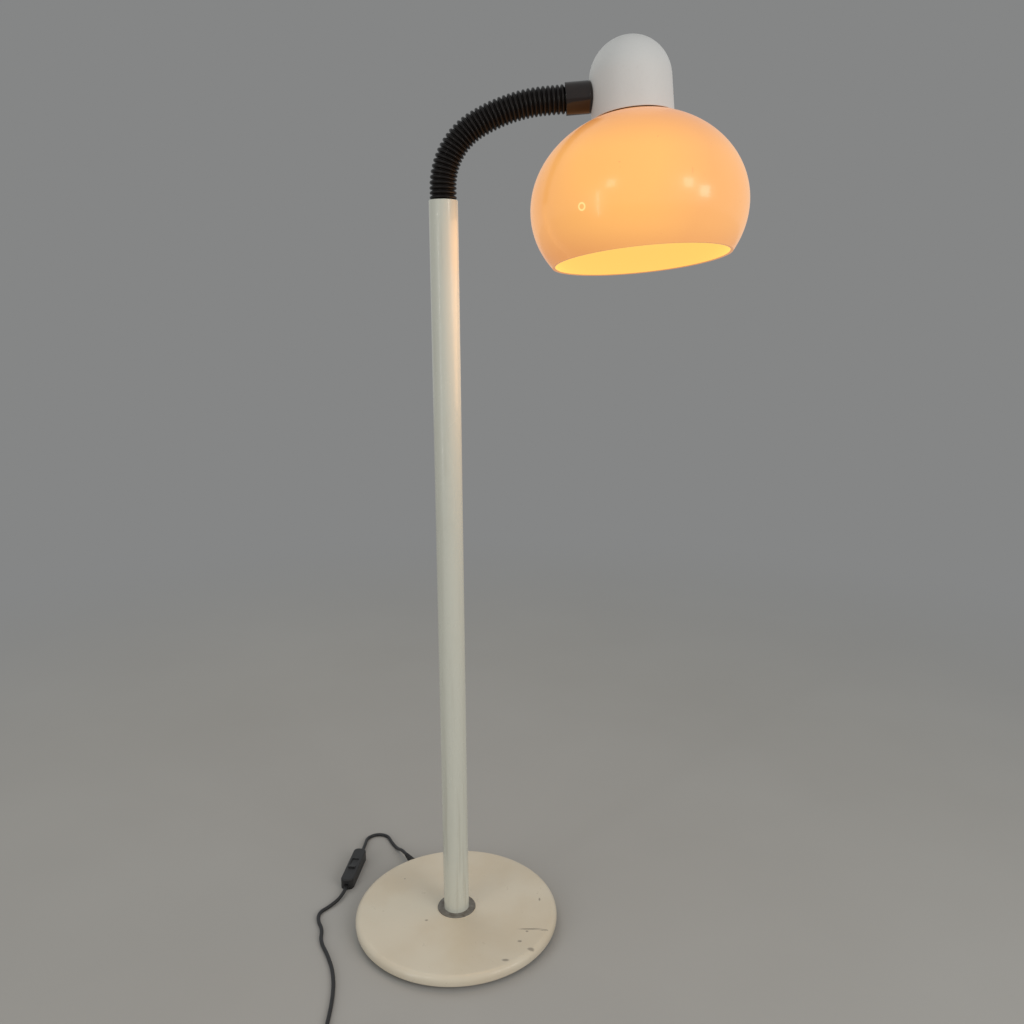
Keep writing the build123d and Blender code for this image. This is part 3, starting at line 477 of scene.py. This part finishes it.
cover_outline = [
    (LIP_INNER, BASE_HEIGHT),
    (LIP_INNER, lip_top - LIP_INNER_EDGE),
    (LIP_INNER + LIP_INNER_EDGE, lip_top),
    (lip_outer - LIP_OUTER_EDGE, lip_top),
    (lip_outer, lip_top - LIP_OUTER_EDGE),
    (lip_outer, BASE_HEIGHT),
    *straight((lip_outer, BASE_HEIGHT), (cover_edge, BASE_HEIGHT), 12),
    *arc(cover_edge, BASE_HEIGHT - RIM_ROUND, RIM_ROUND, 90, 0, 14),
    *arc(curl_in, curl_at, RIM_CURL, 0, -90, 8),
    (curl_in - COVER_WALL, RIM_RISE),
    (curl_in - COVER_WALL, RIM_RISE + COVER_WALL),
    *arc(curl_in, curl_at, RIM_CURL - COVER_WALL, -90, 0, 6),
    *arc(cover_edge, BASE_HEIGHT - RIM_ROUND, RIM_ROUND - COVER_WALL, 0, 90, 8),
    (COVER_HOLE, cover_under),
    (COVER_HOLE, BASE_HEIGHT),
]
base_cover = turned("base_disc", [(cover_outline, lacquer_cream)], 224)
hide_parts("base_cover")
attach(base_cover, "stand")

# ---------------------------------------------------------------- underside of the base
# A steel plate closes the cover over a cast iron weight, held by countersunk screws, and a black felt disc
# glued to the plate keeps it from scratching the floor.


def dress(finish, *names):
    """Gives carried-over pieces their finish."""
    for name in names:
        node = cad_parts[name]
        if not node.data.materials:
            node.data.materials.append(finish)
        for slot in node.material_slots:
            slot.material = finish


felt = Finish("felt_black")
felt_nap = felt.noise(1400, 3, 0.7)
dress(
    felt.surface(
        base_color=felt.blend(felt_nap, (0.012, 0.012, 0.013), (0.045, 0.044, 0.043)),
        roughness=0.96,
        sheen_weight=0.35,
        normal=felt.bump(felt_nap, 0.0005),
    ),
    "base_pad",
)
iron = Finish("cast_iron")
iron_grain = iron.noise(240, 5, 0.7)
dress(
    iron.surface(
        base_color=iron.blend(iron.noise(35, 3), (0.045, 0.043, 0.042), (0.105, 0.085, 0.070)),
        metallic=0.6,
        roughness=0.62 + iron_grain * 0.2,
        normal=iron.bump(iron_grain, 0.0008),
    ),
    "base_weight",
)
steel = Finish("steel_zinc")
steel_draw = steel.noise(180, 3, stretch=(1, 1, 0.15))
steel_zinc = steel.surface(
    base_color=steel.blend(steel_draw, (0.42, 0.41, 0.39), (0.60, 0.59, 0.57)),
    metallic=1.0,
    roughness=0.28 + steel_draw * 0.22,
    normal=steel.bump(steel_draw, 0.00008),
)
dress(
    steel_zinc,
    "base_plate", "base_plate_screws", "pole_bolt", "bolt_washer", "pole_foot_plug", "neck_anchor_nut",
    "friction_washer", "ferrule_nut", "holder_bracket", "holder_nipple", "nipple_nut", "switch_screws",
    *(f"neck_conduit_{number}" for number in range(6)),
)

# ---------------------------------------------------------------- foot washer
# Flat dark grey washer between the base and the pole's foot. Its paint is blotched, from brown to light grey.
WASHER_RADIUS = 0.0261
WASHER_HOLE = 0.0041
WASHER_THICK = 0.0018
WASHER_EDGE = 0.0004
grey = Finish("washer_grey")
grey_blotch = grey.noise(130, 4, 0.6)
washer_grey = grey.surface(
    base_color=grey.ramp(
        grey_blotch,
        (0.30, (0.125, 0.105, 0.085)),
        (0.55, (0.200, 0.185, 0.160)),
        (0.80, (0.275, 0.257, 0.230)),
    ),
    metallic=0.25,
    roughness=0.42 + grey_blotch * 0.25,
    normal=grey.bump(grey_blotch, 0.0002),
)
washer_top = BASE_HEIGHT + WASHER_THICK
washer_outline = [
    (WASHER_HOLE, BASE_HEIGHT),
    (WASHER_RADIUS, BASE_HEIGHT),
    *arc(WASHER_RADIUS - WASHER_EDGE, washer_top - WASHER_EDGE, WASHER_EDGE, 0, 90, 4),
    (WASHER_HOLE, washer_top),
]
washer = turned("washer_disc", [(washer_outline, washer_grey)], 128)
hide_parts("foot_washer")
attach(washer, "stand")

# ---------------------------------------------------------------- pole
# Straight steel tube in glossy white lacquer gone a little green with age. Grime runs down it, most of all
# near the foot, and the cut edge at the top is dressed round.
POLE_RADIUS = 0.01725
POLE_BORE = 0.01575
POLE_TOP = 0.961
POLE_EDGE = 0.0009
POLE_WHITE = (0.590, 0.590, 0.510)
POLE_GRIME = (0.400, 0.375, 0.305)
white = Finish("lacquer_white")
white_height = white.axis(2)
white_runs = white.noise(120, 4, 0.6, stretch=(1, 1, 0.04))
white_mottle = white.noise(24, 4, 0.6, stretch=(1, 1, 0.35))
white_foot = 1 - white_height.band(0.03, 0.28)
white_grime = white_runs.band(0.50, 0.74) * (0.20 + white_foot * 0.55) + white_mottle.band(0.55, 0.8) * 0.18
lacquer_white = white.surface(
    base_color=white.blend(white_grime, POLE_WHITE, POLE_GRIME),
    roughness=0.20 + white_mottle * 0.14,
    coat_weight=0.35,
    coat_roughness=0.05,
    normal=white.bump(white.noise(60, 2, stretch=(1, 1, 0.10)), 0.00010),
)
pole_outline = [
    (POLE_RADIUS, washer_top),
    *straight((POLE_RADIUS, washer_top), (POLE_RADIUS, POLE_TOP), 24),
    *arc(POLE_RADIUS - POLE_EDGE, POLE_TOP - POLE_EDGE, POLE_EDGE, 0, 90, 6),
    (POLE_BORE, POLE_TOP),
    (POLE_BORE, washer_top),
]
pole = turned("pole_tube", [(pole_outline, lacquer_white)], 128)
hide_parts("pole")
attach(pole, "stand")

# ---------------------------------------------------------------- strain relief
# Moulded black rubber grommet that clips into the rim behind the base, with a tapered ribbed tail round the
# cord. Its outline is measured along the cord's way out, from the axis of the pole.
RELIEF_STEPS = 7
RELIEF_START = 0.1415
TAIL_WIDE = 0.0050
TAIL_TAPER = 0.0019
TAIL_GROOVE = 0.0009
TAIL_EDGE = 0.0002
rubber = Finish("rubber_black")
rubber_bloom = rubber.noise(210, 3)
rubber_black = rubber.surface(
    base_color=rubber.blend(rubber_bloom, (0.014, 0.014, 0.014), (0.034, 0.033, 0.032)),
    roughness=0.55 + rubber_bloom * 0.2,
    normal=rubber.bump(rubber_bloom, 0.0001),
)
relief_outline = [
    (0, 0.135),
    (0.0048, 0.135),
    (0.0050, 0.1352),
    (0.0050, 0.1368),
    (0.0048, 0.137),
    (0.0040, 0.137),
    (0.0040, 0.1400),
    (0.0057, 0.1400),
    (0.0060, 0.1403),
    (0.0060, 0.1412),
    (0.0057, RELIEF_START),
]
tail_length = RELIEF_END - RELIEF_START
rib_long = tail_length / RELIEF_STEPS
for step in range(RELIEF_STEPS):
    rib_at = RELIEF_START + tail_length * step / RELIEF_STEPS
    rib_reach = TAIL_WIDE - TAIL_TAPER * step / (RELIEF_STEPS - 1)
    relief_outline += [
        (rib_reach - TAIL_GROOVE, rib_at + rib_long * 0.10),
        (rib_reach - TAIL_GROOVE, rib_at + rib_long * 0.32),
        (rib_reach - TAIL_EDGE, rib_at + rib_long * 0.38),
        (rib_reach, rib_at + rib_long * 0.46),
        (rib_reach, rib_at + rib_long * 0.90),
        (rib_reach - TAIL_EDGE, rib_at + rib_long * 0.98),
    ]
relief_outline.append((0, RELIEF_END))
relief = turned(
    "cord_relief", [(relief_outline, rubber_black)], 40,
    centre=(0, 0, EXIT_HEIGHT), up=EXIT_WAY, side=(0, 0, 1),
)
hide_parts("cord_grip")
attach(relief, "stand")

# ---------------------------------------------------------------- inner leads
# Grey round lead inside base, pole and neck, and the pair that runs to the lampholder.
grey_pvc = Finish("lead_grey")
grey_dust = grey_pvc.noise(300, 3)
dress(
    grey_pvc.surface(
        base_color=grey_pvc.blend(grey_dust, (0.105, 0.105, 0.108), (0.165, 0.163, 0.160)),
        roughness=0.45 + grey_dust * 0.2,
        normal=grey_pvc.bump(grey_dust, 0.0001),
    ),
    "base_cable", "head_leads", *(f"neck_cable_{number}" for number in range(6)),
)

# ---------------------------------------------------------------- gooseneck sleeve
# Black-brown PVC sleeve over the gooseneck, moulded in thin round ribs with deep grooves. It is made in
# lengths that end at the listed ribs, each round one of the neck's joints.
NECK_STRAIGHT = 0.014
NECK_LOW_RADIUS = 0.080
NECK_LOW_TURN = radians(60)
NECK_HIGH_RADIUS = 0.194
NECK_END_STRAIGHT = 0.020
ARM_RISE = radians(4.4)
RIB_COUNT = 38
CREST_RADIUS = 0.0160
VALLEY_RADIUS = 0.0131
RIB_WIDTH = 0.78             # as a share of the pitch
RIB_STEPS = 14
SLEEVE_SIDES = 72
BEND_RIBS = (5, 12, 19, 26, 33)                  # the ribs at which the neck's joints lie
LENGTH_RIBS = (0, 9, 16, 23, 30, RIB_COUNT)      # the ribs at which the sleeve's lengths end
BLEND_REACH = 0.016

neck_turn = pi / 2 - ARM_RISE
NECK_HIGH_TURN = neck_turn - NECK_LOW_TURN
low_run = NECK_LOW_RADIUS * NECK_LOW_TURN
high_run = NECK_HIGH_RADIUS * NECK_HIGH_TURN
neck_length = NECK_STRAIGHT + low_run + high_run + NECK_END_STRAIGHT
rib_pitch = neck_length / RIB_COUNT


def neck_point(along):
    """Point on the neck's centreline, and its direction there, this far along from the pole's top."""
    low = min(max(along - NECK_STRAIGHT, 0), low_run) / NECK_LOW_RADIUS
    high = min(max(along - NECK_STRAIGHT - low_run, 0), high_run) / NECK_HIGH_RADIUS
    rest = max(along - NECK_STRAIGHT - low_run - high_run, 0)
    lean = low + high
    past_low = NECK_LOW_TURN + high
    x = NECK_LOW_RADIUS * (1 - cos(low)) + NECK_HIGH_RADIUS * (cos(NECK_LOW_TURN) - cos(past_low))
    z = NECK_LOW_RADIUS * sin(low) + NECK_HIGH_RADIUS * (sin(past_low) - sin(NECK_LOW_TURN))
    way = Vector((sin(lean), 0, cos(lean)))
    return Vector((x, 0, POLE_TOP + min(along, NECK_STRAIGHT) + z)) + way * rest, way


class Shape(Nodes):
    """A tree that makes a piece's mesh from named sizes."""

    def __init__(self, name):
        super().__init__(bpy.data.node_groups.new(name, "GeometryNodeTree"))
        self.tree.interface.new_socket(name="Geometry", in_out="OUTPUT", socket_type="NodeSocketGeometry")
        self.tree.interface.new_socket(name="Geometry", in_out="INPUT", socket_type="NodeSocketGeometry")
        self.given = self.tree.nodes.new("NodeGroupInput")
        self.keys = {}

    def size(self, name, kind="Float"):
        socket = self.tree.interface.new_socket(name=name, in_out="INPUT", socket_type="NodeSocket" + kind)
        self.keys[name] = socket.identifier
        return Signal(self, self.given.outputs[name])

    def end(self, geometry):
        self.node("NodeGroupOutput", values={"Geometry": geometry})

    def make(self, name, **sizes):
        """A plain mesh object that the tree makes with these sizes."""
        blank = link(name + "_seed", bpy.data.meshes.new(name + "_seed"))
        modifier = blank.modifiers.new("shape", "NODES")
        modifier.node_group = self.tree
        for size, value in sizes.items():
            modifier[self.keys[size.replace("_", " ").capitalize()]] = value
        graph = bpy.context.evaluated_depsgraph_get()
        mesh = bpy.data.meshes.new_from_object(blank.evaluated_get(graph), depsgraph=graph)
        bpy.data.objects.remove(blank)
        mesh.name = name
        return link(name, mesh)


sleeve = Finish("sleeve_pvc")
sleeve_haze = sleeve.noise(320, 4, 0.6)
sleeve_pvc = sleeve.surface(
    base_color=sleeve.blend(sleeve_haze, (0.0035, 0.0028, 0.0026), (0.0095, 0.0066, 0.0056)),
    roughness=0.24 + sleeve_haze * 0.16,
    ior=1.34,
    normal=sleeve.bump(sleeve_haze, 0.00006),
)


def rib_tree():
    """The tree that makes a length of the sleeve: a run of the neck's centreline, and a capped skin round it
    that swells at every rib."""
    tree = Shape("ribbed_neck")
    pitch = tree.size("Rib pitch")
    first = tree.size("First rib")
    rib_total = tree.size("Ribs", "Int")
    rib_steps = tree.size("Steps per rib", "Int")
    sides = tree.size("Sides", "Int")
    crest = tree.size("Crest radius")
    valley = tree.size("Valley radius")
    rib_width = tree.size("Rib width")
    foot_run = tree.size("Foot run")
    foot_height = tree.size("Foot height")
    low_radius = tree.size("Low radius")
    low_turn = tree.size("Low turn")
    high_radius = tree.size("High radius")
    high_turn = tree.size("High turn")
    finish = tree.size("Finish", "Material")

    line = tree.node("GeometryNodeCurvePrimitiveLine", values={"End": (0, 0, 1)})
    dots = {"Curve": line, "Count": rib_total * rib_steps + 1}
    dotted = tree.node("GeometryNodeResampleCurve", values=dots)
    number = tree.node("GeometryNodeInputIndex") / rib_steps
    along = (first + number) * pitch
    low_angle = ((along - foot_run) / low_radius).at_least(0).at_most(low_turn)
    high_past = along - foot_run - low_radius * low_turn
    high_angle = (high_past / high_radius).at_least(0).at_most(high_turn)
    rest = (high_past - high_radius * high_turn).at_least(0)
    lean = low_turn + high_angle
    full_lean = low_angle + high_angle
    across = (1 - low_angle.math("COSINE")) * low_radius
    across += (low_turn.math("COSINE") - lean.math("COSINE")) * high_radius
    across += rest * full_lean.math("SINE")
    height = along.at_most(foot_run) + low_angle.math("SINE") * low_radius + foot_height
    height += (lean.math("SINE") - low_turn.math("SINE")) * high_radius
    height += rest * full_lean.math("COSINE")
    spot = tree.node("ShaderNodeCombineXYZ", values={"X": across, "Z": height})
    path = tree.node("GeometryNodeSetPosition", values={"Geometry": dotted, "Position": spot})

    from_middle = (number.math("FRACT") - 0.5) * 2 / rib_width
    bead = (1 - from_middle * from_middle).at_least(0) ** 0.5
    radius = valley + (crest - valley) * bead
    ring = tree.node("GeometryNodeCurvePrimitiveCircle", values={"Resolution": sides, "Radius": 1.0})
    around = {"Curve": path, "Profile Curve": ring, "Scale": radius, "Fill Caps": True}
    skin = tree.node("GeometryNodeCurveToMesh", values=around)
    real = tree.node("GeometryNodeRealizeInstances", values={"Geometry": skin})
    tree.end(tree.node("GeometryNodeSetMaterial", values={"Geometry": real, "Material": finish}))
    return tree


ribs = rib_tree()
for number, bend_rib in enumerate(BEND_RIBS):
    first_rib, last_rib = LENGTH_RIBS[number], LENGTH_RIBS[number + 1]
    length = ribs.make(
        f"neck_ribs_{number}", rib_pitch=rib_pitch, first_rib=float(first_rib), ribs=last_rib - first_rib,
        steps_per_rib=RIB_STEPS, sides=SLEEVE_SIDES, crest_radius=CREST_RADIUS, valley_radius=VALLEY_RADIUS,
        rib_width=RIB_WIDTH, foot_run=NECK_STRAIGHT, foot_height=POLE_TOP, low_radius=NECK_LOW_RADIUS,
        low_turn=NECK_LOW_TURN, high_radius=NECK_HIGH_RADIUS, high_turn=NECK_HIGH_TURN, finish=sleeve_pvc,
    )
    for face in length.data.polygons:
        face.use_smooth = len(face.vertices) == 4
    bend_at, bend_way = neck_point(bend_rib * rib_pitch)
    bend_at - bend_way * BLEND_REACH
    bend_at + bend_way * BLEND_REACH
    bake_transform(length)
    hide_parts(f"neck_sleeve_{number}", f"neck_sleeve_{number + 1}")

# ---------------------------------------------------------------- swivel cuff
# Cuff of glossy dark brown plastic, which turns with the head. Its head end is rounded over and saddled to
# the dome, and its neck end meets the end of the sleeve.
CUFF_RADIUS = 0.018
CUFF_BORE = 0.0052
CUFF_LENGTH = 0.029
CUFF_SADDLE = 0.0024         # how far its sides reach round the dome
CUFF_ROUND = 0.0048
CUFF_EDGE = 0.0008
CUFF_GAP = 0.0002
CUFF_PARTS = (0.008, 0.016)  # heights of the rings that part its straight side
DOME_GAP = 0.0001
DOME_RADIUS = 0.0475
HEAD_TURN = radians(6)
arm_end, arm_way = neck_point(neck_length)
arm_up = Vector((-arm_way.z, 0, arm_way.x))
head_up = arm_up * cos(HEAD_TURN) + Vector((0, sin(HEAD_TURN), 0))
head_at = arm_end + arm_way * (CUFF_LENGTH + DOME_RADIUS)
head_cross = head_up.cross(arm_way)

brown = Finish("cuff_plastic")
brown_haze = brown.noise(150, 3)
cuff_plastic = brown.surface(
    base_color=brown.blend(brown_haze, (0.0080, 0.0050, 0.0042), (0.018, 0.0105, 0.0080)),
    roughness=0.12 + brown_haze * 0.10,
    ior=1.52,
    normal=brown.bump(brown.noise(90, 2), 0.00005),
)
cuff_end = CUFF_LENGTH + CUFF_SADDLE
cuff_outline = [
    (CUFF_BORE, CUFF_GAP),
    (CUFF_RADIUS - CUFF_EDGE, CUFF_GAP),
    *arc(CUFF_RADIUS - CUFF_EDGE, CUFF_GAP + CUFF_EDGE, CUFF_EDGE, -90, 0, 4),
    *[(CUFF_RADIUS, height) for height in CUFF_PARTS],
    *arc(CUFF_RADIUS - CUFF_ROUND, cuff_end - CUFF_ROUND, CUFF_ROUND, 0, 90, 10),
    (CUFF_BORE, cuff_end),
]
cuff = turned(
    "swivel_cuff", [(cuff_outline, cuff_plastic)], 112, centre=arm_end, up=arm_way, side=(0, 1, 0)
)
for point in cuff.data.vertices:
    sideways = (point.co - head_at).dot(head_cross)
    to_dome = sqrt(DOME_RADIUS ** 2 - sideways ** 2) + DOME_GAP
    inwards = -(point.co - head_at).dot(arm_way)
    if inwards < to_dome:
        point.co -= arm_way * (to_dome - inwards)
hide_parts("cuff")
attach(cuff, "head")

# ---------------------------------------------------------------- dome cap
# Dome spun from sheet metal over the lampholder, in satin white lacquer with a little dust.
DOME_SHOULDER = 0.0145
DOME_BOTTOM = -0.0285
DOME_WALL = 0.0012
DOME_EDGE = 0.0004
SATIN_WHITE = (0.640, 0.638, 0.625)
SATIN_DUSTY = (0.560, 0.550, 0.525)
satin = Finish("satin_white")
satin_cloud = satin.noise(22, 4)
satin_dust = satin.noise(380, 3).band(0.55, 0.8)
satin_white = satin.surface(
    base_color=satin.blend(satin_cloud * 0.5 + satin_dust * 0.3, SATIN_WHITE, SATIN_DUSTY),
    roughness=0.40 + satin_cloud * 0.12,
    normal=satin.bump(satin.noise(700, 2), 0.00004),
)
dome_inner = DOME_RADIUS - DOME_WALL
dome_outline = [
    (DOME_RADIUS, DOME_BOTTOM + DOME_EDGE),
    *straight((DOME_RADIUS, DOME_BOTTOM), (DOME_RADIUS, DOME_SHOULDER), 6),
    *arc(0, DOME_SHOULDER, DOME_RADIUS, 0, 90, 28),
    *arc(0, DOME_SHOULDER, dome_inner, 90, 0, 28),
    (dome_inner, DOME_BOTTOM + DOME_EDGE),
    (dome_inner + DOME_EDGE, DOME_BOTTOM),
    (DOME_RADIUS - DOME_EDGE, DOME_BOTTOM),
]
dome = turned("dome_shell", [(dome_outline, satin_white)], 144, centre=head_at, up=head_up, side=arm_way)
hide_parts("dome_cap")
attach(dome, "head")

# ---------------------------------------------------------------- shade
# Mushroom of blown opal acrylic, 3 mm thick, lit from inside: orange where the light comes through, deeper at
# the top and the rim, nearly yellow on the inside. It has a small brighter ring at its left, a few specks, a
# spot and a scratch.
SHADE_RADIUS = 0.126
SHADE_DEPTH = 0.1065
SHADE_CENTRE = -0.1285
SHADE_RIM = -0.188
SHADE_WALL = 0.003
SHADE_EDGE = 0.0008          # how far above the rim the walls start to round over
LAND_RADIUS = 0.029          # the flat land round the hole, where the rings clamp the shade
LAND_HOLE = 0.0206
GLOW_CENTRE = (-0.020, -0.060, -0.116)      # across, towards the back, and up from the head's centre
INSIDE_GLOW = (0, 0, -0.095)
GLOW_REACH = 0.20            # how far from its centre a glow ends
DEEP_ORANGE = (0.44, 0.120, 0.035)
RING_LIGHT = (1.0, 0.80, 0.30)
MARK_BROWN = (0.30, 0.12, 0.03)
RING_AT = (0.1544, -0.1148, 0.9406)
RING_RADIUS = 0.0036
SCRATCH_AT = (0.2674, -0.1304, 0.9744)
SPOT_AT = (0.1918, -0.1284, 0.9831)


def head_spot(across, back, height):
    """Point in the head's own frame."""
    return head_at + arm_way * across + head_cross * back + head_up * height


def ellipse_turn(height, depth):
    """Degrees at which an ellipse of this half height passes a height."""
    return asin((height - SHADE_CENTRE) / depth) * 180 / pi


shade_inner = SHADE_RADIUS - SHADE_WALL
inner_depth = SHADE_DEPTH - SHADE_WALL
land_top = SHADE_CENTRE + SHADE_DEPTH * sqrt(1 - (LAND_RADIUS / SHADE_RADIUS) ** 2)
land_low = SHADE_CENTRE + inner_depth * sqrt(1 - (LAND_RADIUS / shade_inner) ** 2)

opal = Finish("opal_glow")
opal_near = opal.distance(tuple(head_spot(*GLOW_CENTRE)))
opal_cloud = opal.noise(16, 4)
opal_level = opal_near + (opal_cloud - 0.5) * 0.012
opal_height = opal.axis(2)
opal_dim = opal_height.band(0.995, 1.050) * 0.6 + (1 - opal_height.band(0.885, 0.925)) * 0.4
opal_colour = opal.ramp(
    opal_level / GLOW_REACH,
    (0.34, (0.750, 0.338, 0.066)),
    (0.48, (0.620, 0.262, 0.066)),
    (0.80, (0.650, 0.298, 0.105)),
    (1.00, (0.500, 0.215, 0.075)),
)
opal_glow = opal.blend(opal_dim, opal_colour, DEEP_ORANGE)
opal_ring = 1 - (opal.distance(RING_AT) - RING_RADIUS).math("ABSOLUTE").band(0.0004, 0.0014)
opal_specks = opal.noise(330, 1).band(0.76, 0.80) * opal.noise(30, 1).band(0.45, 0.60)
opal_scratch = 1 - opal.distance(SCRATCH_AT, (1, 0.3, 0.13)).band(0.0003, 0.0007)
opal_spot = 1 - opal.distance(SPOT_AT, (0.6, 0.3, 1)).band(0.0004, 0.0009)
opal_marks = opal_specks.at_least(opal_scratch).at_least(opal_spot)
opal_marked = opal.blend(opal_marks * 0.45, opal_glow, MARK_BROWN)
opal_skin = opal.surface(
    base_color=opal.blend(opal_cloud, (0.43, 0.24, 0.105), (0.48, 0.27, 0.12)),
    roughness=0.20 + opal_cloud * 0.10,
    coat_weight=0.3,
    coat_roughness=0.10,
    emission_color=opal.blend(opal_ring * 0.6, opal_marked, RING_LIGHT),
    emission_strength=1.0,
    normal=opal.bump(opal.noise(45, 2), 0.00006),
)
inside = Finish("opal_inside")
inside_near = inside.distance(tuple(head_spot(*INSIDE_GLOW)))
opal_inside = inside.surface(
    base_color=(0.26, 0.16, 0.06),
    roughness=0.35,
    emission_color=inside.ramp(
        inside_near / GLOW_REACH,
        (0.25, (0.92, 0.65, 0.26)),
        (0.55, (0.87, 0.54, 0.135)),
        (1.00, (0.78, 0.46, 0.11)),
    ),
    emission_strength=1.0,
    normal=inside.bump(inside.noise(45, 2), 0.00006),
)
walls_end = SHADE_RIM + SHADE_EDGE
shade_outside = [
    *arc(
        0, SHADE_CENTRE, SHADE_RADIUS,
        ellipse_turn(walls_end, SHADE_DEPTH), ellipse_turn(land_top, SHADE_DEPTH),
        60, SHADE_DEPTH / SHADE_RADIUS,
    ),
    (LAND_HOLE, land_top),
]
shade_inside = [
    (LAND_HOLE, land_low),
    *arc(
        0, SHADE_CENTRE, shade_inner,
        ellipse_turn(land_low, inner_depth), ellipse_turn(walls_end, inner_depth),
        56, inner_depth / shade_inner,
    ),
]
rim_inner, rim_outer = shade_inside[-1][0], shade_outside[0][0]
shade_rim = [
    (rim_inner + 0.0004, SHADE_RIM + 0.0002),
    (rim_inner + 0.0010, SHADE_RIM),
    (rim_outer - 0.0010, SHADE_RIM),
    (rim_outer - 0.0003, SHADE_RIM + 0.0002),
]
shade = turned(
    "shade_shell", [(shade_outside, opal_skin), (shade_inside, opal_inside), (shade_rim, opal_skin)], 160,
    centre=head_at, up=head_up, side=arm_way,
)
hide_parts("shade")
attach(shade, "head")

# ---------------------------------------------------------------- lampholder
# Black bakelite holder on a threaded nipple, with two screw rings that clamp the shade, and a brass shell and
# contact inside. The neck's bush and ferrule and the bulb's base are aluminium.
bakelite = Finish("bakelite")
bakelite_haze = bakelite.noise(260, 3)
dress(
    bakelite.surface(
        base_color=bakelite.blend(bakelite_haze, (0.014, 0.013, 0.012), (0.032, 0.030, 0.028)),
        roughness=0.40 + bakelite_haze * 0.2,
        normal=bakelite.bump(bakelite_haze, 0.0001),
    ),
    "holder_cap", "holder_body", "shade_ring_upper", "shade_ring_lower",
)
brass = Finish("brass")
brass_tarnish = brass.noise(140, 4)
dress(
    brass.surface(
        base_color=brass.blend(brass_tarnish, (0.62, 0.43, 0.17), (0.40, 0.26, 0.10)),
        metallic=1.0,
        roughness=0.25 + brass_tarnish * 0.25,
        normal=brass.bump(brass_tarnish, 0.00006),
    ),
    "holder_screw_shell", "holder_contact",
)
alloy = Finish("aluminium")
alloy_marks = alloy.noise(200, 4, stretch=(1, 1, 0.2))
dress(
    alloy.surface(
        base_color=alloy.blend(alloy_marks, (0.56, 0.56, 0.57), (0.70, 0.70, 0.71)),
        metallic=1.0,
        roughness=0.30 + alloy_marks * 0.2,
        normal=alloy.bump(alloy_marks, 0.00006),
    ),
    "pole_top_bush", "end_ferrule", "lamp_base",
)

# ---------------------------------------------------------------- bulb
# Frosted golf-ball bulb, lit. Its glow falls off from the globe to the neck.
BULB_RADIUS = 0.030
BULB_CENTRE = -0.082
BULB_NECK = 0.013
BULB_WALL = 0.0008
BULB_BLEND = 40              # degrees above the globe's widest line at which the neck starts
CAP_BOTTOM = -0.028
frost = Finish("frosted_glass")
frost_near = frost.distance(tuple(head_spot(0, 0, BULB_CENTRE)))
frosted_glass = frost.surface(
    base_color=(0.80, 0.74, 0.62),
    roughness=0.35,
    emission_color=frost.ramp(frost_near, (0.026, (1.0, 0.93, 0.72)), (0.055, (0.90, 0.62, 0.30))),
    emission_strength=1.0,
    normal=frost.bump(frost.noise(900, 2), 0.00004),
)


def bulb_side(globe, throat, forwards):
    """Half outline of the bulb, from its lowest point up to its cap."""
    blend_reach = globe * cos(radians(BULB_BLEND))
    blend_height = BULB_CENTRE + globe * sin(radians(BULB_BLEND))
    neck_height = blend_height + (blend_reach - throat) / tan(radians(BULB_BLEND))
    points = arc(0, BULB_CENTRE, globe, -90, BULB_BLEND, 26) + [(throat, neck_height), (throat, CAP_BOTTOM)]
    return points if forwards else points[::-1]


bulb_outline = bulb_side(BULB_RADIUS, BULB_NECK, True)
bulb_outline += bulb_side(BULB_RADIUS - BULB_WALL, BULB_NECK - BULB_WALL, False)
bulb = turned("bulb_glass", [(bulb_outline, frosted_glass)], 72, centre=head_at, up=head_up, side=arm_way)
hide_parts("lamp_glass")
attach(bulb, "head")

# ---------------------------------------------------------------- inline switch
# Two black moulded half shells, screwed together from below round the cord, with a rocker that tips.
moulded = Finish("switch_plastic")
moulded_haze = moulded.noise(240, 4)
dress(
    moulded.surface(
        base_color=moulded.blend(moulded_haze, (0.009, 0.009, 0.010), (0.024, 0.023, 0.023)),
        roughness=0.36 + moulded_haze * 0.18,
        normal=moulded.bump(moulded.noise(1500, 2), 0.00008),
    ),
    "switch_base", "switch_cover", "switch_rocker",
)

# ---------------------------------------------------------------- plug
# Flat black two-pin plug moulded on the cord, with nickel-plated pins.
dress(rubber_black, "plug_body")
nickel = Finish("nickel")
nickel_rub = nickel.noise(260, 3)
dress(
    nickel.surface(
        base_color=nickel.blend(nickel_rub, (0.60, 0.58, 0.54), (0.72, 0.70, 0.66)),
        metallic=1.0,
        roughness=0.18 + nickel_rub * 0.18,
        normal=nickel.bump(nickel_rub, 0.00004),
    ),
    "plug_pins",
)
